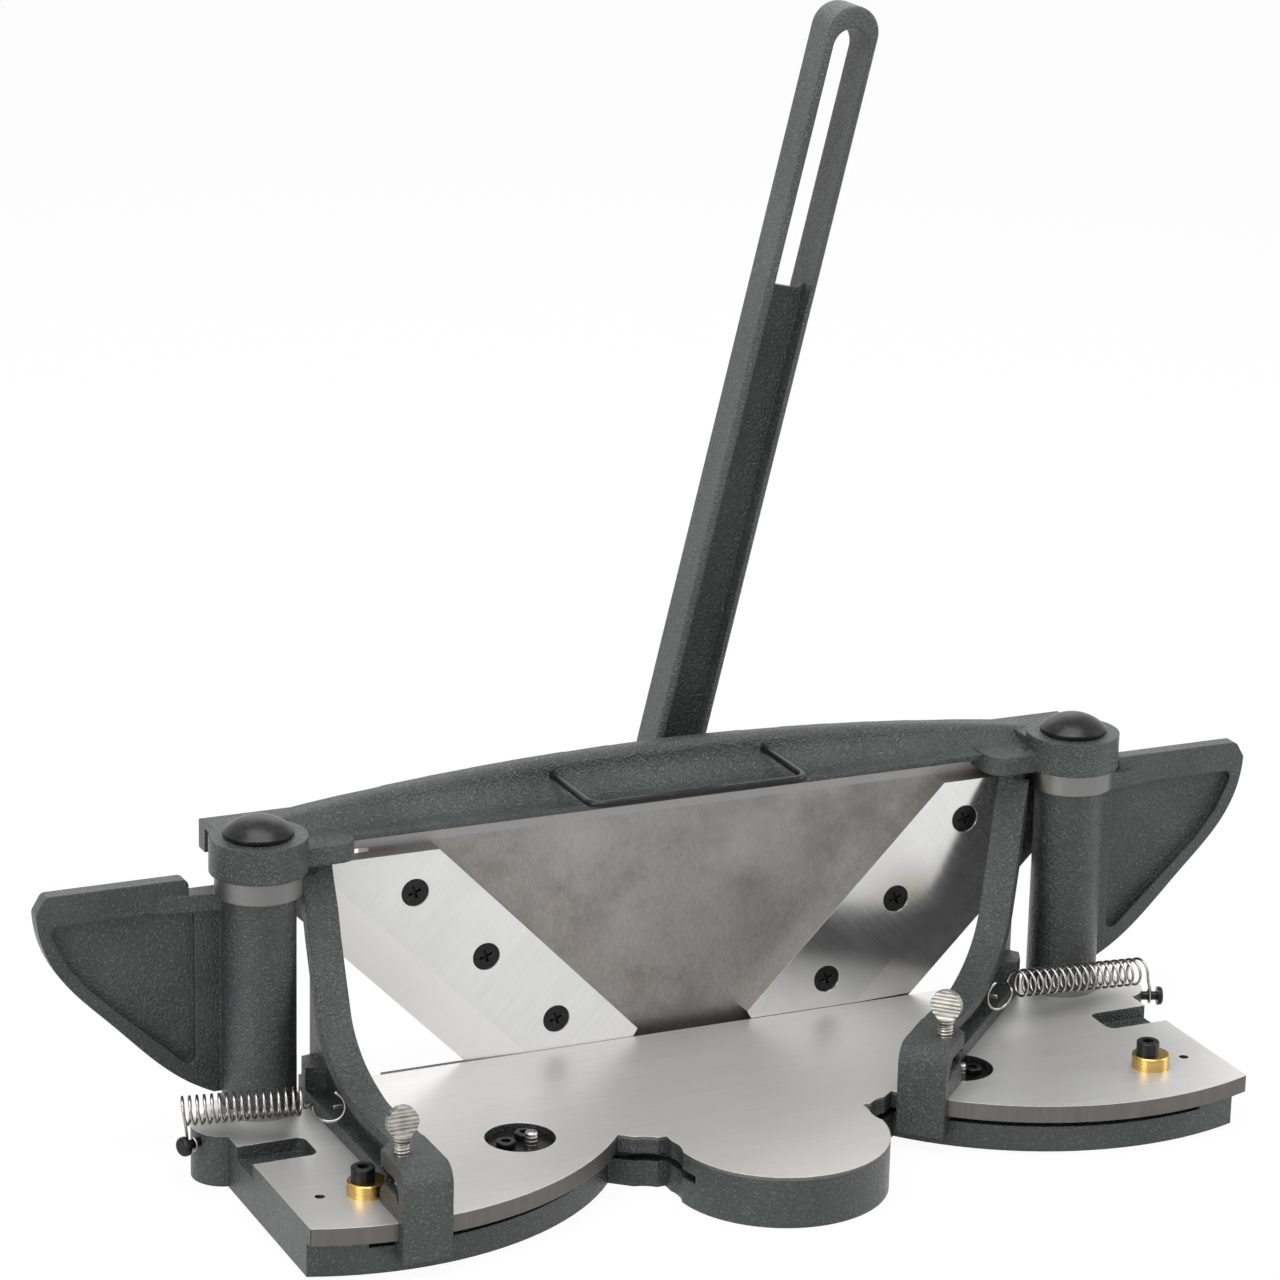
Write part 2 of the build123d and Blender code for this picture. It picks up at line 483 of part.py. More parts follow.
# ---- base casting ---------------------------------------------------------------------------
with BuildPart() as base_casting:
    with BuildSketch(Plane.XY):
        for side in (-1, 1):
            with Locations((side * PIVOT_X, PIVOT_Y)):
                Circle(RIM_R)
        with Locations((0, 0)):
            Rectangle(2 * BASE_HALF, 4 * RIM_R, mode=Mode.INTERSECT)
        with Locations((0, (TABLE_BACK - LOBE_ROOT) / 2)):
            Rectangle(2 * (PIVOT_X - 97), TABLE_BACK + LOBE_ROOT)
        with Locations((0, (TABLE_BACK + NOTCH_Y) / 2)):
            Rectangle(2 * (NOTCH_X - 14.5), TABLE_BACK - NOTCH_Y)
        with Locations((0, TABLE_BACK + 150)):
            Rectangle(3 * BASE_HALF, 300, mode=Mode.SUBTRACT)
        for side in (-1, 1):
            add(ring_sector(side, RIM_R, RIM_R + 14, -25, NOTCH_TO), mode=Mode.SUBTRACT)
        with Locations((0, LOBE_Y)):
            Circle(LOBE_R)
        with Locations((-NOTCH_X, NOTCH_Y), (NOTCH_X, NOTCH_Y)):
            Circle(NOTCH_R, mode=Mode.SUBTRACT)
        fillet(vertices().group_by(Axis.Y)[-1], CORNER_R)
        with Locations((-EAR_X, EAR_Y), (EAR_X, EAR_Y)):
            Circle(EAR_R)
    extrude(amount=TABLE_Z)
    # rear way that guides the carriage tongue, and the tail that carries the lever
    with BuildSketch(Plane.XY):
        with Locations((0, (TABLE_BACK + WAY_BACK) / 2 - 1)):
            Rectangle(2 * WAY_HALF, WAY_BACK - TABLE_BACK + 2)
        with Locations((0, (WAY_BACK + TAIL_BACK) / 2 - 1)):
            Rectangle(2 * TAIL_HALF, TAIL_BACK - WAY_BACK + 2)
        fillet(vertices().group_by(Axis.Y)[-1], 8)
    extrude(amount=WAY_TOP)
    with BuildSketch(Plane.XY.offset(TONGUE_FOOT - RUN)):
        with Locations((0, (PLATE_Y0 + PLATE_Y1) / 2)):
            Rectangle(3 * WAY_HALF, PLATE_T + 2 * SLIDE)
    extrude(amount=TABLE_Z, mode=Mode.SUBTRACT)
    # casting set back below the rim, and the hook groove
    for side in (-1, 1):
        with BuildSketch(Plane.XY):
            add(ring_sector(side, RIM_R - WALL_BACK, RIM_R + 14, -25, NOTCH_TO))
        extrude(amount=TABLE_Z - RIM, mode=Mode.SUBTRACT)
        with BuildSketch(Plane.XY.offset(TABLE_Z - RIM - HOOK_GAP)):
            add(ring_sector(side, RIM_R - HOOK_IN, RIM_R + 14, GROOVE_FROM, GROOVE_TO))
            with Locations((side * NOTCH_X, NOTCH_Y)):
                Circle(NOTCH_R + 6.5)
        extrude(amount=HOOK_GAP, mode=Mode.SUBTRACT)
    with BuildSketch(Plane.XY):
        with Locations((BASE_HALF, -80)):
            Rectangle(2 * FACE_CUT, 100)
    extrude(amount=TABLE_Z - RIM, mode=Mode.SUBTRACT)
    # bench-bolt pockets, plate recesses
    with BuildSketch(Plane.XY.offset(TABLE_Z)):
        for side in (-1, 1):
            with Locations((side * (POCKET_IN + POCKET_LONG / 2), (POCKET_Y0 + POCKET_Y1) / 2)):
                RectangleRounded(POCKET_LONG, POCKET_Y1 - POCKET_Y0, 4)
    extrude(amount=-POCKET_DEEP, mode=Mode.SUBTRACT)
    with BuildSketch(Plane.XY.offset(TABLE_Z)):
        with Locations((-RECESS_X, RECESS_Y), (RECESS_X, RECESS_Y)):
            Circle(RECESS_R)
    extrude(amount=-RECESS_DEEP, mode=Mode.SUBTRACT)
    for side in (-1, 1):
        with BuildSketch(Plane.XY):
            with Locations((side * BENCH_X, BENCH_Y)):
                Circle(BENCH_R)
            with Locations((side * POST_X, 0)):
                Circle(BORE_R)
        extrude(amount=TABLE_Z, mode=Mode.SUBTRACT)
        with BuildSketch(Plane.XY):
            with Locations((side * POST_X, 0)):
                Circle(NUT_POCKET_R)
        extrude(amount=NUT_POCKET_H, mode=Mode.SUBTRACT)
        with BuildSketch(Plane.XY.offset(TABLE_Z)):
            with Locations((side * DOWEL_X, DOWEL_Y)):
                Circle(DOWEL_R)
        extrude(amount=-8, mode=Mode.SUBTRACT)
        with BuildSketch(Plane.XY.offset(TABLE_Z)):
            with Locations((side * PIVOT_X, PIVOT_Y)):
                Circle(PIN_R)
            with Locations((side * STOP_X - STOP_OFF, STOP_Y)):
                Circle(STOP_SCREW / 2)
        extrude(amount=-12, mode=Mode.SUBTRACT)
        with BuildSketch(Plane.XY.offset(TABLE_Z)):
            with Locations(*[(side * x, y) for x, y in PLATE_SPOTS]):
                Circle(PLATE_SCREW / 2)
            with Locations((side * PIN_SPOT[0], PIN_SPOT[1])):
                Circle(ANGLE_PIN_R)
        extrude(amount=-15, mode=Mode.SUBTRACT)
        out = Vector(side * cos(STUD_TURN), -sin(STUD_TURN), 0)
        with BuildSketch(Plane(Vector(side * EAR_X, EAR_Y, STUD_Z) + out * STUD_IN, z_dir=out)):
            Circle(STUD_WIRE)
        extrude(amount=20, mode=Mode.SUBTRACT)
    with BuildSketch(Plane.XY.offset(WAY_TOP)):
        with Locations(*BRACKET_SPOTS):
            Circle(BRACKET_SCREW / 2)
    extrude(amount=-7.6, mode=Mode.SUBTRACT)

# ---- discs, pins and screws on the table ----------------------------------------------------
with BuildPart() as recess_plates:
    with BuildSketch(Plane.XY.offset(TABLE_Z - RECESS_DEEP)):
        for side in (-1, 1):
            with Locations((side * RECESS_X, RECESS_Y)):
                Circle(RECESS_R - 0.8)
            with Locations(*[(side * x, y) for x, y in PLATE_SPOTS]):
                Circle(PLATE_SCREW / 2, mode=Mode.SUBTRACT)
            with Locations((side * PIN_SPOT[0], PIN_SPOT[1])):
                Circle(ANGLE_PIN_R + CLEAR, mode=Mode.SUBTRACT)
    extrude(amount=PLATE_TOP - TABLE_Z + RECESS_DEEP)
recess_screws = grouped(*[cap_screw((side * x, y, PLATE_TOP), PLATE_SCREW, 9, low=True)
                          for side in (-1, 1) for x, y in PLATE_SPOTS])
with BuildPart() as angle_pins:
    with BuildSketch(Plane.XY.offset(TABLE_Z - 10)):
        with Locations(*[(side * PIN_SPOT[0], PIN_SPOT[1]) for side in (-1, 1)]):
            Circle(ANGLE_PIN_R)
    extrude(amount=ANGLE_PIN_H + 10)
    fillet(angle_pins.faces().group_by(Axis.Z)[-1].edges(), 1.5)
stop_screws = grouped(*[cap_screw((side * STOP_X - STOP_OFF, STOP_Y, TABLE_Z + STOP_H + RUN), STOP_SCREW,
                                  STOP_H + RUN + 11) for side in (-1, 1)])
with BuildPart() as arm_pivot_pins:
    for side in (-1, 1):
        with BuildSketch(Plane.XY.offset(TABLE_Z - 12)):
            with Locations((side * PIVOT_X, PIVOT_Y)):
                Circle(PIN_R)
        extrude(amount=22)
        with BuildSketch(Plane.XY.offset(LUG_Z - 9)):
            with Locations((side * PIVOT_X, PIVOT_Y)):
                Circle(PIN_R)
        extrude(amount=LUG_TOP - LUG_Z + 9)

# ---- posts and beam -------------------------------------------------------------------------
left_post_wing = post_with_guard(-1)
right_post_wing = post_with_guard(1)

with BuildPart() as top_beam:
    # one section: lip, hollow front face, crest, and the skirt behind the rail
    with BuildSketch(Plane.YZ.offset(-BEAM_HALF)):
        with BuildLine():
            lip = Polyline((FLANGE_Y, FLANGE_Z), (FLANGE_Y, FLANGE_Z + FLANGE_T),
                           (WEB_Y0 - HOLLOW_R, FLANGE_Z + FLANGE_T))
            rise = TangentArc(lip @ 1, (WEB_Y0, FLANGE_Z + FLANGE_T + HOLLOW_R), tangent=(1, 0))
            Polyline(rise @ 1, (WEB_Y0, ARCH_MID + 1), (WEB_Y1, ARCH_MID + 1), (WEB_Y1, SKIRT_TOP),
                     (SKIRT_Y1, SKIRT_TOP - 3), (SKIRT_Y1, SKIRT_Z), (PLATE_Y1 + SLIDE, SKIRT_Z),
                     (PLATE_Y1 + SLIDE, FLANGE_Z), (FLANGE_Y, FLANGE_Z))
        make_face()
    extrude(amount=2 * BEAM_HALF)
    # cut to the arch
    with BuildSketch(upright(SKIRT_Y1 + 1)):
        with BuildLine():
            ThreePointArc((-ARCH_HALF, ARCH_END), (0, ARCH_MID), (ARCH_HALF, ARCH_END))
            Polyline((ARCH_HALF, ARCH_END), (BEAM_HALF, ARCH_END), (BEAM_HALF, SKIRT_Z),
                     (-BEAM_HALF, SKIRT_Z), (-BEAM_HALF, ARCH_END), (-ARCH_HALF, ARCH_END))
        make_face()
    extrude(amount=2 * SKIRT_Y1, mode=Mode.INTERSECT)
    crest = top_beam.edges().filter_by(GeomType.CIRCLE).filter_by(
        lambda edge: edge.radius > 3 * ARCH_HALF / 2 and edge.center().Y > WEB_Y1 - 0.5)
    fillet(crest, 3)
    # caps on the posts, blocks that join them, and the lugs over the arm pivots
    with BuildSketch(Plane.XY.offset(CAP_Z0)):
        with Locations((-POST_X, 0), (POST_X, 0)):
            Circle(CAP_R)
    extrude(amount=CAP_Z1 - CAP_Z0)
    fillet(top_beam.faces().sort_by(Axis.Z)[-1].edges().filter_by(GeomType.CIRCLE), 4)
    for side in (-1, 1):
        with BuildSketch(Plane.XY.offset(CAP_Z0)):
            with Locations((side * (POST_X - 3.5), 13)):
                RectangleRounded(31, 30, 3)
        extrude(amount=ARCH_END - CAP_Z0)
        with BuildSketch(Plane.XY.offset(LUG_Z)):
            with Locations((side * (PIVOT_X - 4), 8)):
                RectangleRounded(30, 27, 8.5)
        extrude(amount=LUG_TOP - LUG_Z)
        with BuildSketch(Plane.XY):
            with Locations((side * POST_X, 0)):
                Circle(BORE_R)
        extrude(amount=CAP_Z1, mode=Mode.SUBTRACT)
        with BuildSketch(Plane.XY):
            with Locations((side * PIVOT_X, PIVOT_Y)):
                Circle(PIN_R)
        extrude(amount=LUG_TOP, mode=Mode.SUBTRACT)
    # groove that guides the rail, and the wire guard's holes
    with BuildSketch(Plane.XY):
        with Locations((0, (PLATE_Y0 + PLATE_Y1) / 2)):
            Rectangle(3 * BEAM_HALF, PLATE_T + 2 * SLIDE)
    extrude(amount=RAIL_TOP + RUN, mode=Mode.SUBTRACT)
    with BuildSketch(upright(WEB_Y0 + WIRE_IN)):
        with Locations((-WIRE_X, WIRE_Z), (WIRE_X, WIRE_Z)):
            Circle(WIRE_R)
    extrude(amount=2 * WIRE_IN, mode=Mode.SUBTRACT)

with BuildPart() as wire_guard:
    with BuildLine() as loop_path:
        Line((-WIRE_X, WEB_Y0 + WIRE_IN, WIRE_Z), (-WIRE_X, WIRE_FRONT + WIRE_BEND, WIRE_Z))
        TangentArc((-WIRE_X, WIRE_FRONT + WIRE_BEND, WIRE_Z),
                   (-WIRE_X + WIRE_BEND, WIRE_FRONT, WIRE_Z), tangent=(0, -1, 0))
        Line((-WIRE_X + WIRE_BEND, WIRE_FRONT, WIRE_Z), (WIRE_X - WIRE_BEND, WIRE_FRONT, WIRE_Z))
        TangentArc((WIRE_X - WIRE_BEND, WIRE_FRONT, WIRE_Z),
                   (WIRE_X, WIRE_FRONT + WIRE_BEND, WIRE_Z), tangent=(1, 0, 0))
        Line((WIRE_X, WIRE_FRONT + WIRE_BEND, WIRE_Z), (WIRE_X, WEB_Y0 + WIRE_IN, WIRE_Z))
    with BuildSketch(upright(WEB_Y0 + WIRE_IN)):
        with Locations((-WIRE_X, WIRE_Z)):
            Circle(WIRE_R)
    sweep()

DOME_R, SHANK_R = 15.0, BORE_R - 0.1
with BuildPart() as tie_bolt:
    with BuildSketch(Plane.XZ):
        with BuildLine():
            Polyline((0, CAP_Z1 + 8.5), (0, 1), (SHANK_R, 1), (SHANK_R, CAP_Z1),
                     (DOME_R - 2.5, CAP_Z1), (DOME_R - 2.5, CAP_Z1 + 0.6),
                     (DOME_R, CAP_Z1 + 0.6), (DOME_R, CAP_Z1 + 2))
            RadiusArc((DOME_R, CAP_Z1 + 2), (0, CAP_Z1 + 8.5), -(DOME_R**2 + 6.5**2) / 13)
        make_face()
    revolve(axis=Axis.Z)
tie_bolts = grouped(Pos(-POST_X, 0, 0) * tie_bolt.part, Pos(POST_X, 0, 0) * tie_bolt.part)
with BuildPart() as tie_bolt_nuts:
    with BuildSketch(Plane.XY.offset(2)):
        with Locations((-POST_X, 0), (POST_X, 0)):
            RegularPolygon(10.5, 6)
            Circle(BORE_R, mode=Mode.SUBTRACT)
    extrude(amount=7)

# ---- carriage -------------------------------------------------------------------------------
with BuildPart() as carriage_casting:
    with BuildSketch(upright(PLATE_Y1)):
        with BuildLine():
            foot_z = TONGUE_FOOT
            slope = TONGUE_HALF + TABLE_Z - PLATE_LEAN
            Polyline((-TONGUE_HALF, foot_z), (-TONGUE_HALF, slope), (-PLATE_HALF, PLATE_SIDE),
                     (-PLATE_HALF, RAIL_LOW), (-RAIL_HALF, RAIL_LOW), (-RAIL_HALF, RAIL_TOP),
                     (RAIL_HALF, RAIL_TOP), (RAIL_HALF, RAIL_LOW), (PLATE_HALF, RAIL_LOW),
                     (PLATE_HALF, PLATE_SIDE), (TONGUE_HALF, slope), (TONGUE_HALF, foot_z),
                     close=True)
        make_face()
    extrude(amount=PLATE_T)
    with BuildSketch(upright(PLATE_Y0)):
        with Locations(*[(side * x, z) for side in (-1, 1) for x, z in BLADE_SCREWS]):
            Circle(3)
    extrude(amount=-10, mode=Mode.SUBTRACT)
    with BuildSketch(upright(PLATE_Y1)):
        with Locations(*RACK_SPOTS):
            Circle(RACK_SCREW / 2)
    extrude(amount=8, mode=Mode.SUBTRACT)


def knife(side):
    """One slanting knife with a shallow front grind and a steep rear bevel."""
    width = BLADE_TOP - BLADE_LOW
    with BuildPart() as blade:
        with BuildSketch(upright(PLATE_Y0)):
            with BuildLine():
                Polyline(*[(side * x, z) for x, z in
                           [(EDGE_LOW_X, BLADE_LOW), (EDGE_LOW_X + width, BLADE_TOP),
                            (121.4, BLADE_TOP), (26.8, 26), (28.9, 22.3), (29.9, BLADE_LOW)]],
                         close=True)
            make_face()
        extrude(amount=BLADE_T)
        # sections across the edge, swept past both ends of the knife
        edge = Plane((side * EDGE_LOW_X, PLATE_Y0, BLADE_LOW), x_dir=(0, -1, 0),
                     z_dir=(side * 1, 0, 1))
        grow = -1 if edge.y_dir.X * side > 0 else 1
        with BuildSketch(edge.offset(-40)):
            with BuildLine():
                Polyline((-1, grow * 12), (-1, -grow * 5), (BLADE_T - 1.4, -grow * 5),
                         (BLADE_T - 1.4, 0), (0, grow * 12), close=True)
            make_face()
        extrude(amount=260, mode=Mode.SUBTRACT)
        with BuildSketch(edge.offset(-40)):
            with BuildLine():
                Polyline((BLADE_T, grow * 20), (BLADE_T + 2, grow * 20), (BLADE_T + 2, -grow * 5),
                         (BLADE_T - 1.0, -grow * 5), (BLADE_T - 0.8, 0), close=True)
            make_face()
        extrude(amount=260, mode=Mode.SUBTRACT)
        with BuildSketch(upright(KNIFE_Y)):
            with Locations(*[(side * x, z) for x, z in BLADE_SCREWS]):
                Circle(6.3)
        extrude(amount=-0.6, mode=Mode.SUBTRACT)
        for x, z in BLADE_SCREWS:
            with BuildSketch(Plane((side * x, KNIFE_Y + 0.6, z), x_dir=(1, 0, 0), z_dir=(0, 1, 0))):
                Circle(6.3)
            with BuildSketch(Plane((side * x, KNIFE_Y + 4, z), x_dir=(1, 0, 0), z_dir=(0, 1, 0))):
                Circle(3)
            loft(mode=Mode.SUBTRACT)
        with BuildSketch(upright(KNIFE_Y)):
            with Locations(*[(side * x, z) for x, z in BLADE_SCREWS]):
                Circle(3)
        extrude(amount=-BLADE_T, mode=Mode.SUBTRACT)
    return blade.part


left_blade = knife(-1)
right_blade = knife(1)

with BuildPart() as blade_screws:
    for side in (-1, 1):
        for x, z in BLADE_SCREWS:
            with BuildSketch(Plane((side * x, KNIFE_Y + 0.6, z), x_dir=(1, 0, 0), z_dir=(0, 1, 0))):
                Circle(6.2)
            with BuildSketch(Plane((side * x, KNIFE_Y + 3.95, z), x_dir=(1, 0, 0), z_dir=(0, 1, 0))):
                Circle(2.95)
            loft()
            with BuildSketch(upright(KNIFE_Y + 3)):
                with Locations((side * x, z)):
                    Circle(2.95)
            extrude(amount=-13)
            with BuildSketch(upright(KNIFE_Y + 0.6)):
                with Locations((side * x, z)):
                    Rectangle(6, 1.3, rotation=20)
                    Rectangle(1.3, 6, rotation=20)
            extrude(amount=-1.8, mode=Mode.SUBTRACT)

# ---- rack and sector ------------------------------------------------------------------------
RACK_BACK = PLATE_Y1 + 13
with BuildPart() as rack_bar:
    with BuildSketch(upright(RACK_BACK)):
        with BuildLine():
            rack_end = PITCH * RACK_TEETH / 2
            half = PITCH / 4 - BACKLASH / 2
            teeth = []
            for k in range(RACK_TEETH):
                middle = (k - (RACK_TEETH - 1) / 2) * PITCH
                wide = half + ROOT * tan(PRESSURE)
                thin = half - TIP * tan(PRESSURE)
                teeth += [(middle - wide, RACK_Z + ROOT), (middle - thin, RACK_Z - TIP),
                          (middle + thin, RACK_Z - TIP), (middle + wide, RACK_Z + ROOT)]
            Polyline((-rack_end, RACK_TOP), (-rack_end, RACK_Z + ROOT), *teeth,
                     (rack_end, RACK_Z + ROOT), (rack_end, RACK_TOP), close=True)
        make_face()
    extrude(amount=RACK_BACK - PLATE_Y1)
    with BuildSketch(upright(RACK_BACK)):
        with Locations(*RACK_SPOTS):
            Circle(RACK_SCREW / 2)
    extrude(amount=20, mode=Mode.SUBTRACT)
    with BuildSketch(upright(RACK_BACK)):
        with Locations(*RACK_SPOTS):
            Circle(2.8)
    extrude(amount=RACK_SEAT, mode=Mode.SUBTRACT)
rack_screws = grouped(*[cap_screw((x, RACK_BACK - RACK_SEAT, z), RACK_SCREW, 17, up=(0, 1, 0))
                        for x, z in RACK_SPOTS])

lever_dir = (cos(TILT), 0, -sin(TILT))


def lever_plane(y):
    """Plane square to the pivot at y, whose own y runs up the lever; extrusions run forward."""
    return Plane((0, y, PIVOT_Z), x_dir=lever_dir, z_dir=(0, -1, 0))


def flank(radius):
    """Half angle of a tooth of the sector at this radius."""
    base = PITCH_R * cos(PRESSURE)
    involute = tan(PRESSURE) - PRESSURE
    middle = (PITCH / 2 - BACKLASH) / (2 * PITCH_R)
    if radius <= base:
        return middle + involute
    steep = sqrt((radius / base) ** 2 - 1)
    return middle + involute - (steep - atan2(steep, 1))


with BuildPart() as gear_sector:
    with BuildSketch(lever_plane(GEAR_Y1)):
        with BuildLine():
            step = 2 * pi / WHEEL_TEETH
            rim = []
            root_r = PITCH_R - ROOT
            for k in range(-SECTOR_SIDE, SECTOR_SIDE + 1):
                for radius, way in [(root_r, -1), (61, -1), (PITCH_R, -1), (64.6, -1), (PITCH_R + TIP, -1),
                                    (PITCH_R + TIP, 1), (64.6, 1), (PITCH_R, 1), (61, 1), (root_r, 1)]:
                    angle = k * step + way * flank(radius)
                    rim.append((radius * sin(angle), radius * cos(angle)))
            reach = (SECTOR_SIDE + 0.5) * step
            Polyline((17, -10), (root_r * sin(reach), root_r * cos(reach)), *rim[::-1],
                     (-root_r * sin(reach), root_r * cos(reach)), (-17, -10), close=True)
        make_face()
        Circle(20)
        for side in (-1, 1):
            with Locations((side * 30, 24)):
                Circle(9, mode=Mode.SUBTRACT)
        Circle(STUD_R + CLEAR, mode=Mode.SUBTRACT)
    extrude(amount=GEAR_Y1 - GEAR_Y0)
    with BuildSketch(lever_plane(GEAR_Y0)):
        Circle(12)
    extrude(amount=-6.7, mode=Mode.SUBTRACT)
    with BuildSketch(lever_plane(GEAR_Y0)):
        with Locations(*SECTOR_SPOTS):
            Circle(5.2)
    extrude(amount=-6.2, mode=Mode.SUBTRACT)
    with BuildSketch(lever_plane(GEAR_Y0)):
        with Locations(*SECTOR_SPOTS):
            Circle(3)
    extrude(amount=-20, mode=Mode.SUBTRACT)

with BuildPart() as lever_casting:
    with BuildSketch(lever_plane(LEVER_Y1)):
        with Locations((0, (LEVER_REACH + HUB_R) / 2)):
            SlotOverall(LEVER_REACH - HUB_R, LEVER_W, rotation=90)
    extrude(amount=LEVER_Y1 - LEVER_Y0)
    outer = lever_casting.faces().filter_by(Axis.Y).edges()
    fillet(outer, 2)
    # channels down both faces leave an I section
    channel = LEVER_W - 2 * LEVER_RIM
    for y, inwards in ((LEVER_Y0, -1), (LEVER_Y1, 1)):
        with BuildSketch(lever_plane(y)):
            with Locations((0, (CHANNEL_FROM + SLOT_FROM + 6) / 2)):
                RectangleRounded(channel, SLOT_FROM + 6 - CHANNEL_FROM, 4)
        extrude(amount=inwards * (LEVER_Y1 - LEVER_Y0 - LEVER_WEB) / 2, mode=Mode.SUBTRACT)
    with BuildSketch(lever_plane(LEVER_Y1)):
        with Locations((0, (SLOT_FROM + SLOT_TO) / 2)):
            SlotOverall(SLOT_TO - SLOT_FROM, channel, rotation=90)
        with Locations((0, SLOT_FROM + channel / 2)):
            RectangleRounded(channel, channel, 4)
    extrude(amount=LEVER_Y1 - LEVER_Y0, mode=Mode.SUBTRACT)
    # hub, and the seat of the gear sector
    with BuildSketch(lever_plane(BRACKET_Y0 - 2 * RUN)):
        Circle(HUB_R)
        with Locations((0, HUB_R)):
            Rectangle(LEVER_W, 2 * HUB_R)
    extrude(amount=BRACKET_Y0 - 2 * RUN - LEVER_Y0)
    with BuildSketch(lever_plane(LEVER_Y1)):
        Circle(HUB_R + 2)
    extrude(amount=LEVER_Y1 - BRACKET_Y0 + 2 * RUN, mode=Mode.SUBTRACT)
    with BuildSketch(lever_plane(LEVER_Y0)):
        Circle(HUB_R)
        with Locations((0, 32)):
            Rectangle(20, 48)
    extrude(amount=LEVER_Y0 - GEAR_Y1)
    with BuildSketch(lever_plane(BRACKET_Y0)):
        Circle(BUSH_R)
    extrude(amount=BRACKET_Y0 - GEAR_Y1 + 1, mode=Mode.SUBTRACT)
    with BuildSketch(lever_plane(GEAR_Y1)):
        with Locations(*SECTOR_SPOTS):
            Circle(3)
    extrude(amount=-14, mode=Mode.SUBTRACT)
sector_screws = grouped(*[cap_screw(tuple(lever_plane(GEAR_Y0 + 6.2).from_local_coords((*spot, 0))),
                                    6, 19, up=(0, -1, 0)) for spot in SECTOR_SPOTS])
with BuildPart() as lever_bushing:
    with BuildSketch(lever_plane(BRACKET_Y0 - 2 * RUN)):
        Circle(BUSH_R)
        Circle(STUD_R + RUN, mode=Mode.SUBTRACT)
    extrude(amount=BRACKET_Y0 - 2 * RUN - GEAR_Y1)

STUD_FRONT = GEAR_Y0 + 6.7 - 2 * RUN
with BuildPart() as lever_pivot_stud:
    with BuildSketch(lever_plane(BRACKET_Y0)):
        Circle(STUD_R)
    extrude(amount=BRACKET_Y0 - STUD_FRONT)
    with BuildSketch(lever_plane(BRACKET_Y0)):
        Circle(6)
    extrude(amount=-22)
    with BuildSketch(lever_plane(STUD_FRONT)):
        Circle(2.5)
    extrude(amount=-14, mode=Mode.SUBTRACT)
with BuildPart() as pivot_retainer:
    with BuildSketch(lever_plane(STUD_FRONT)):
        Circle(11)
        Circle(2.5, mode=Mode.SUBTRACT)
    extrude(amount=2)
pivot_screw = cap_screw((0, STUD_FRONT - 2, PIVOT_Z), 5, 14, up=(0, -1, 0), low=True)
with BuildPart() as pivot_nut:
    with BuildSketch(lever_plane(BRACKET_Y1 + 8)):
        RegularPolygon(10.5, 6)
        Circle(6, mode=Mode.SUBTRACT)
    extrude(amount=8)

with BuildPart() as lever_bracket:
    with BuildSketch(Plane.XY.offset(WAY_TOP)):
        with Locations((0, 72)):
            RectangleRounded(60, 36, 5)
    extrude(amount=BRACKET_T)
    with BuildSketch(upright(BRACKET_Y1)):
        with BuildLine():
            Polyline((-26, WAY_TOP + 5), (26, WAY_TOP + 5), (15, PIVOT_Z), (-15, PIVOT_Z), close=True)
        make_face()
        with Locations((0, PIVOT_Z)):
            Circle(16)
    extrude(amount=BRACKET_Y1 - BRACKET_Y0)
    with BuildSketch(upright(BRACKET_Y1)):
        with Locations((0, PIVOT_Z)):
            Circle(6)
    extrude(amount=30, both=True, mode=Mode.SUBTRACT)
    with BuildSketch(Plane.XY.offset(WAY_TOP)):
        with Locations(*BRACKET_SPOTS):
            Circle(BRACKET_SCREW / 2)
    extrude(amount=BRACKET_T + 2, mode=Mode.SUBTRACT)
bracket_screws = grouped(*[cap_screw((x, y, WAY_TOP + BRACKET_T), BRACKET_SCREW, 17)
                           for x, y in BRACKET_SPOTS])

# ---- arms, stops, springs -------------------------------------------------------------------


def to_right(piece):
    """The left-hand piece mirrored and swung to the right arm's place."""
    swing = Axis((PIVOT_X, PIVOT_Y, 0), (0, 0, 1))
    return mirror(piece, Plane.YZ).rotate(swing, -MITRE)


left_fence_arm = fence_arm()
left_shoe = clamp_shoe()
left_thumb = thumb_screw()
right_fence_arm = to_right(left_fence_arm)
right_shoe = to_right(left_shoe)
right_thumb = to_right(left_thumb)
with BuildPart() as left_pin:
    with BuildSketch(Plane((-PIVOT_X + WEB_U + 3, PIVOT_Y - PIN_A, PIN_Z), z_dir=(-1, 0, 0))):
        Circle(0.8)
    extrude(amount=WEB_U + 3 - PIN_OUT)
right_pin = to_right(left_pin.part)


def spring_stud(side):
    """Round-headed stud screw standing out of the base's ear."""
    out = Vector(side * cos(STUD_TURN), -sin(STUD_TURN), 0)
    ear = Vector(side * EAR_X, EAR_Y, STUD_Z)
    with BuildPart() as stud:
        with BuildSketch(Plane(ear + out * STUD_IN, z_dir=out)):
            Circle(STUD_WIRE)
        extrude(amount=15)
        with BuildSketch(Plane(ear + out * (STUD_IN + 15), z_dir=out)):
            Circle(4.2)
        extrude(amount=2.6)
        fillet(stud.edges().sort_by(Axis(ear, out))[-1], 1.5)
    return stud.part


